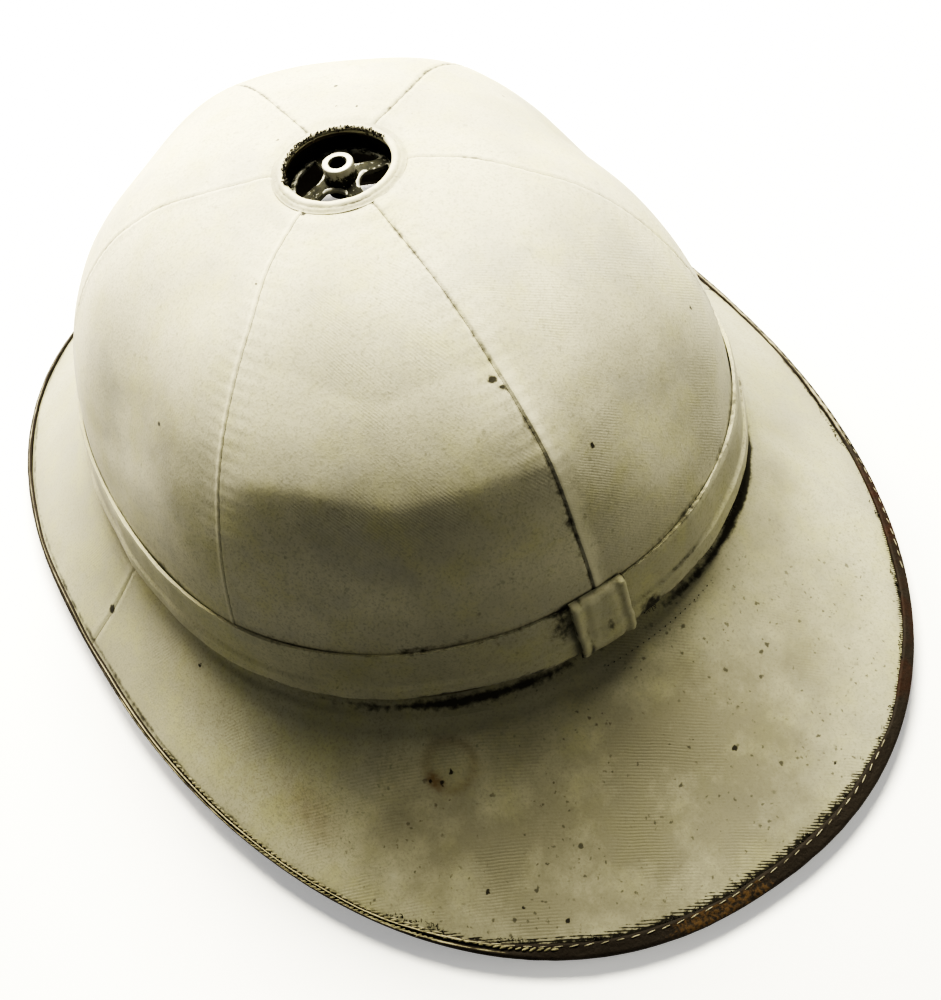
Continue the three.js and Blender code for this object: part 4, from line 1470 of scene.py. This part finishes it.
class HelmetSizes(bpy.types.PropertyGroup):
    """Sizes of the helmet."""

    brim_half_width: FloatProperty(
        name="Brim half width", description="From the middle to the side edge", default=0.132, unit="LENGTH"
    )
    brim_rear_reach: FloatProperty(
        name="Brim rear reach", description="From the vent to the rear edge", default=0.201, unit="LENGTH"
    )
    brim_front_reach: FloatProperty(
        name="Brim front reach", description="From the vent to the front edge", default=0.169, unit="LENGTH"
    )
    edge_height: FloatProperty(
        name="Edge height",
        description="Height of the cloth at the brim's edge",
        default=0.0044,
        unit="LENGTH",
    )
    side_arch: FloatProperty(
        name="Side arch", description="How much higher the brim is at its sides", default=0.003, unit="LENGTH"
    )
    crown_half_width: FloatProperty(
        name="Crown half width", description="At the crown's foot", default=0.1035, unit="LENGTH"
    )
    crown_half_length: FloatProperty(
        name="Crown half length", description="At the crown's foot", default=0.1215, unit="LENGTH"
    )
    crown_top: FloatProperty(
        name="Crown top", description="Height of the crown's cloth at the vent", default=0.143, unit="LENGTH"
    )
    foot_rear: FloatProperty(
        name="Foot at the rear", description="Height of the crown's foot", default=0.0405, unit="LENGTH"
    )
    foot_front: FloatProperty(
        name="Foot at the front", description="Height of the crown's foot", default=0.0485, unit="LENGTH"
    )
    foot_side: FloatProperty(
        name="Foot at the sides", description="Height of the crown's foot", default=0.035, unit="LENGTH"
    )
    cloth: FloatProperty(name="Cloth", description="Thickness of the cloth", default=0.0008, unit="LENGTH")
    clearance: FloatProperty(
        name="Clearance", description="Gap between neighbouring pieces", default=0.0003, unit="LENGTH"
    )
    crown_wall: FloatProperty(
        name="Crown wall", description="Thickness of the shell's crown", default=0.007, unit="LENGTH"
    )
    brim_wall_at_foot: FloatProperty(
        name="Brim wall at the foot", description="Thickness of the shell there", default=0.005, unit="LENGTH"
    )
    brim_wall_at_edge: FloatProperty(
        name="Brim wall at the edge",
        description="Thickness of the shell there",
        default=0.0025,
        unit="LENGTH",
    )
    band_height: FloatProperty(
        name="Band height", description="Height of the band", default=0.02, unit="LENGTH"
    )
    loop_width: FloatProperty(
        name="Loop width", description="Width of the keeper", default=0.022, unit="LENGTH"
    )
    loop_cloth: FloatProperty(
        name="Loop cloth", description="Thickness of the keeper", default=0.0012, unit="LENGTH"
    )
    vent_radius: FloatProperty(
        name="Vent radius", description="Of the vent hole", default=0.016, unit="LENGTH"
    )
    vent_ring_outer: FloatProperty(
        name="Vent ring radius", description="Outer radius of the cloth ring", default=0.0205, unit="LENGTH"
    )
    rib_pitch: FloatProperty(
        name="Rib pitch", description="Distance between the twill's ribs", default=0.00085, unit="LENGTH"
    )


class HelmetColours(bpy.types.PropertyGroup):
    """Colours of the helmet's materials."""

    crown: FloatVectorProperty(
        name="Crown cloth", description="Clean cloth", subtype="COLOR", default=(0.565, 0.54, 0.4)
    )
    # The brim's cloth is darker than the crown's: partly grimier cloth and partly painted shade.
    brim: FloatVectorProperty(
        name="Brim cloth", description="Clean cloth", subtype="COLOR", default=(0.37, 0.358, 0.26)
    )
    band: FloatVectorProperty(
        name="Band cloth", description="Clean cloth", subtype="COLOR", default=(0.5, 0.48, 0.345)
    )
    # This colour also paints shade: in the crevice under the band, beside the loop and in the brim's shaded
    # patches.
    dirt_and_shade: FloatVectorProperty(
        name="Dirt", description="Dust and grease on the cloth", subtype="COLOR", default=(0.14, 0.131, 0.096)
    )
    leather: FloatVectorProperty(
        name="Leather", description="Edge binding", subtype="COLOR", default=(0.014, 0.011, 0.009)
    )
    worn_leather: FloatVectorProperty(
        name="Worn leather",
        description="Where the leather is rubbed",
        subtype="COLOR",
        default=(0.034, 0.015, 0.01),
    )
    pith: FloatVectorProperty(
        name="Pith", description="The moulded shell", subtype="COLOR", default=(0.33, 0.27, 0.17)
    )
    paint: FloatVectorProperty(
        name="Paint", description="Paint on the vent's metal", subtype="COLOR", default=(0.026, 0.025, 0.014)
    )
    floor: FloatVectorProperty(
        name="Floor", description="The studio floor", subtype="COLOR", default=(0.915, 0.92, 0.955)
    )


class StageSettings(bpy.types.PropertyGroup):
    """Camera and light."""

    azimuth: FloatProperty(
        name="Azimuth", description="Camera's bearing", default=math.radians(159.12), subtype="ANGLE"
    )
    elevation: FloatProperty(
        name="Elevation", description="Camera's height angle", default=math.radians(50.62), subtype="ANGLE"
    )
    roll: FloatProperty(
        name="Roll", description="Camera's roll", default=math.radians(-13.74), subtype="ANGLE"
    )
    distance: FloatProperty(name="Distance", description="Camera's distance", default=0.4944, unit="LENGTH")
    lens: FloatProperty(name="Lens", description="Focal length", default=57.294, unit="CAMERA")
    key: FloatProperty(name="Key light", description="Power of the main light", default=58.0)
    front: FloatProperty(name="Front light", description="Power of the low light in front", default=80.0)
    side: FloatProperty(name="Side lights", description="Power of each low light beside it", default=12.0)
    fill: FloatProperty(name="Fill", description="Strength of the even light", default=0.115)
    target: FloatVectorProperty(
        name="Target", description="Where the camera looks", default=(0.00916, 0.0486, 0.0556), subtype="XYZ"
    )


def helmet_form(context):
    """The surfaces for the sizes in the panel."""
    return Form(context.scene.helmet_sizes)


class HELMET_OT_shell(bpy.types.Operator):
    """Makes the moulded pith shell"""

    bl_idname = "helmet.shell"
    bl_label = "Pith shell"

    def execute(self, context):
        base = context.scene.helmet_colours.pith
        plain = pith_material("pith", base, False)
        make_shell(helmet_form(context), [plain, pith_material("dark_lining_pith", base, True)])
        return {"FINISHED"}


class HELMET_OT_crown(bpy.types.Operator):
    """Makes the six cloth gores of the crown"""

    bl_idname = "helmet.crown"
    bl_label = "Crown gores"

    def execute(self, context):
        colours = context.scene.helmet_colours
        sizes = context.scene.helmet_sizes
        cloth = cloth_material("crown_twill", colours.crown, colours.dirt_and_shade, sizes, CHIPS, 0.42, 0.52)
        for index in range(PANELS):
            piece, flat, area = make_gore(helmet_form(context), index, cloth)
        return {"FINISHED"}


class HELMET_OT_brim(bpy.types.Operator):
    """Makes the two halves of the brim's top cloth"""

    bl_idname = "helmet.brim"
    bl_label = "Brim cloths"

    def execute(self, context):
        colours = context.scene.helmet_colours
        sizes = context.scene.helmet_sizes
        # The brim's dark patches are laid on strongly: partly grime and partly painted shade.
        cloth = cloth_material("brim_twill", colours.brim, colours.dirt_and_shade, sizes, CHIPS, 0.4, 1.18)
        form = helmet_form(context)
        for half in range(2):
            piece, area = make_brim_cloth(form, half, cloth)
        return {"FINISHED"}


class HELMET_OT_binding(bpy.types.Operator):
    """Makes the leather binding of the brim's edge"""

    bl_idname = "helmet.binding"
    bl_label = "Edge binding"

    def execute(self, context):
        colours = context.scene.helmet_colours
        leather = leather_material("binding_leather", colours.leather, colours.worn_leather)
        make_binding(helmet_form(context), leather)
        return {"FINISHED"}


class HELMET_OT_band(bpy.types.Operator):
    """Makes the folded band and its keeper loop"""

    bl_idname = "helmet.band"
    bl_label = "Band and loop"

    def execute(self, context):
        colours = context.scene.helmet_colours
        sizes = context.scene.helmet_sizes
        cloth = cloth_material("band_twill", colours.band, colours.dirt_and_shade, sizes, (), 0.42, 0.5)
        form = helmet_form(context)
        make_band(form, cloth)
        make_loop(form, cloth)
        return {"FINISHED"}


class HELMET_OT_vent(bpy.types.Operator):
    """Makes the vent's cloth ring and its metal spider"""

    bl_idname = "helmet.vent"
    bl_label = "Vent"

    def execute(self, context):
        colours = context.scene.helmet_colours
        sizes = context.scene.helmet_sizes
        form = helmet_form(context)
        make_vent_ring(form, cloth_material("collar_cloth", colours.crown, colours.dirt_and_shade, sizes, relief=0.2))
        make_spider(form, metal_material("olive_metal", colours.paint))
        return {"FINISHED"}


class HELMET_OT_threads(bpy.types.Operator):
    """Makes the stitches, the needle marks and the frayed ends"""

    bl_idname = "helmet.threads"
    bl_label = "Stitches and frays"

    def execute(self, context):
        threads = {
            "pale": thread_material("pale_thread", (0.26, 0.24, 0.17)),
            "cord": thread_material("soiled_cord", (0.2, 0.185, 0.11)),
            "dark": thread_material("dirty_thread", (0.025, 0.021, 0.015)),
        }
        make_threads(helmet_form(context), threads)
        return {"FINISHED"}


class HELMET_OT_stage(bpy.types.Operator):
    """Makes the floor, the lights and the camera"""

    bl_idname = "helmet.stage"
    bl_label = "Stage"

    def execute(self, context):
        scene = context.scene
        settings = scene.helmet_stage
        make_floor(scene.helmet_colours.floor)
        make_camera(settings)
        make_lights(settings)
        return {"FINISHED"}


class HELMET_PT_panel(bpy.types.Panel):
    """Lists the helmet's pieces and settings"""

    bl_idname = "HELMET_PT_panel"
    bl_label = "Sun helmet"
    bl_space_type = "VIEW_3D"
    bl_region_type = "UI"
    bl_category = "Helmet"

    def draw(self, context):
        for operator in OPERATORS:
            self.layout.operator(operator.bl_idname)
        for group in (context.scene.helmet_sizes, context.scene.helmet_colours, context.scene.helmet_stage):
            box = self.layout.box()
            for name in group.bl_rna.properties.keys():
                if name not in ("rna_type", "name"):
                    box.prop(group, name)


OPERATORS = (
    HELMET_OT_shell,
    HELMET_OT_crown,
    HELMET_OT_brim,
    HELMET_OT_binding,
    HELMET_OT_band,
    HELMET_OT_vent,
    HELMET_OT_threads,
    HELMET_OT_stage,
)
CLASSES = (HelmetSizes, HelmetColours, StageSettings, *OPERATORS, HELMET_PT_panel)


def make_floor(tint):
    """A pale floor with painted light: it glows faintly everywhere but under the helmet, so it stays white
    round the helmet's shadow.
    """
    half = 4.0
    mesh = bpy.data.meshes.new("studio_floor")
    corners = [(-half, -half, 0), (half, -half, 0), (half, half, 0), (-half, half, 0)]
    mesh.from_pydata(corners, [], [(0, 1, 2, 3)])
    material, nodes, shader, place = start_material("studio_floor")
    shader.inputs["Base Color"].default_value = colour(tint)
    shader.inputs["Roughness"].default_value = 0.9
    # Painted light: the floor glows everywhere except a cut-out under the helmet.
    oval_place = nodes.vector("MULTIPLY", {0: place, 1: (1.38, 1.0, 1.0)})
    under_hat = nodes.dot(oval_place, (0.0, 0.0, 0.0), 0.18)
    glow = nodes.blend((1.0, 1.0, 1.0, 1.0), (0.0, 0.0, 0.0, 1.0), under_hat)
    nodes.feed(shader.inputs["Emission Color"], glow)
    shader.inputs["Emission Strength"].default_value = 0.22
    mesh.materials.append(material)
    floor = bpy.data.objects.new("studio_floor", mesh)
    bpy.context.scene.collection.objects.link(floor)
    floor.visible_diffuse = False


def make_camera(settings):
    """The camera, at the photograph's viewing angle."""
    level = math.cos(settings.elevation)
    back = Vector(
        (
            math.sin(settings.azimuth) * level,
            -math.cos(settings.azimuth) * level,
            math.sin(settings.elevation),
        )
    )
    right = Vector((0, 0, 1)).cross(back).normalized()
    up = back.cross(right)
    turned_right = right * math.cos(settings.roll) + up * math.sin(settings.roll)
    turned_up = up * math.cos(settings.roll) - right * math.sin(settings.roll)
    data = bpy.data.cameras.new("camera")
    data.lens = settings.lens
    data.sensor_width = 36.0
    data.clip_start = 0.01
    data.clip_end = 50.0
    camera = bpy.data.objects.new("camera", data)
    place = Vector(settings.target) + back * settings.distance
    axes = Matrix((turned_right, turned_up, back)).transposed().to_4x4()
    camera.matrix_world = Matrix.Translation(place) @ axes
    bpy.context.scene.collection.objects.link(camera)
    bpy.context.scene.camera = camera


def add_light(name, bearing, elevation, power, size, distance=1.9, tint=(1.0, 0.965, 0.755)):
    """A round soft light that faces the helmet. Its bearing is measured as the helmet's angles are."""
    turn = math.radians(bearing)
    height = math.radians(elevation)
    level = math.cos(height)
    way = Vector((math.sin(turn) * level, math.cos(turn) * level, math.sin(height)))
    data = bpy.data.lights.new(name, "AREA")
    data.shape = "DISK"
    data.size = size
    data.energy = power
    data.color = tint
    light = bpy.data.objects.new(name, data)
    light.location = Vector((0, 0, 0.06)) + way * distance
    light.rotation_mode = "QUATERNION"
    light.rotation_quaternion = way.to_track_quat("Z", "Y")
    bpy.context.scene.collection.objects.link(light)


def make_lights(settings):
    """A soft main light from beyond the helmet, weaker ones round it, and a little even light."""
    scene = bpy.context.scene
    add_light("key_light", 209, 56, settings.key, 0.78, 1.2)
    add_light("front_light", 176, 14, settings.front, 1.0, tint=(1.0, 0.92, 0.74))
    add_light("left_light", 106, 14, settings.side * 0.6, 1.0)
    add_light("right_light", 312, 14, settings.side, 1.0)
    world = bpy.data.worlds.new("studio")
    world.use_nodes = True
    background = world.node_tree.nodes["Background"]
    background.inputs["Color"].default_value = (0.935, 0.957, 1.0, 1.0)
    background.inputs["Strength"].default_value = settings.fill
    scene.world = world
    scene.view_settings.view_transform = "AgX"
    scene.view_settings.look = "AgX - Very High Contrast"


def register():
    """Registers the add-on's classes."""
    for each in CLASSES:
        bpy.utils.register_class(each)
    bpy.types.Scene.helmet_sizes = PointerProperty(type=HelmetSizes)
    bpy.types.Scene.helmet_colours = PointerProperty(type=HelmetColours)
    bpy.types.Scene.helmet_stage = PointerProperty(type=StageSettings)


def unregister():
    """Removes the add-on's classes."""
    del bpy.types.Scene.helmet_stage
    del bpy.types.Scene.helmet_colours
    del bpy.types.Scene.helmet_sizes
    for each in reversed(CLASSES):
        bpy.utils.unregister_class(each)


def main():
    """Builds the helmet and its stage."""
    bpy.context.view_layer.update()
    register()
    bpy.ops.helmet.shell()
    bpy.ops.helmet.crown()
    bpy.ops.helmet.brim()
    bpy.ops.helmet.binding()
    bpy.ops.helmet.band()
    bpy.ops.helmet.vent()
    bpy.ops.helmet.threads()
    bpy.ops.helmet.stage()


if __name__ == "__main__":
    main()
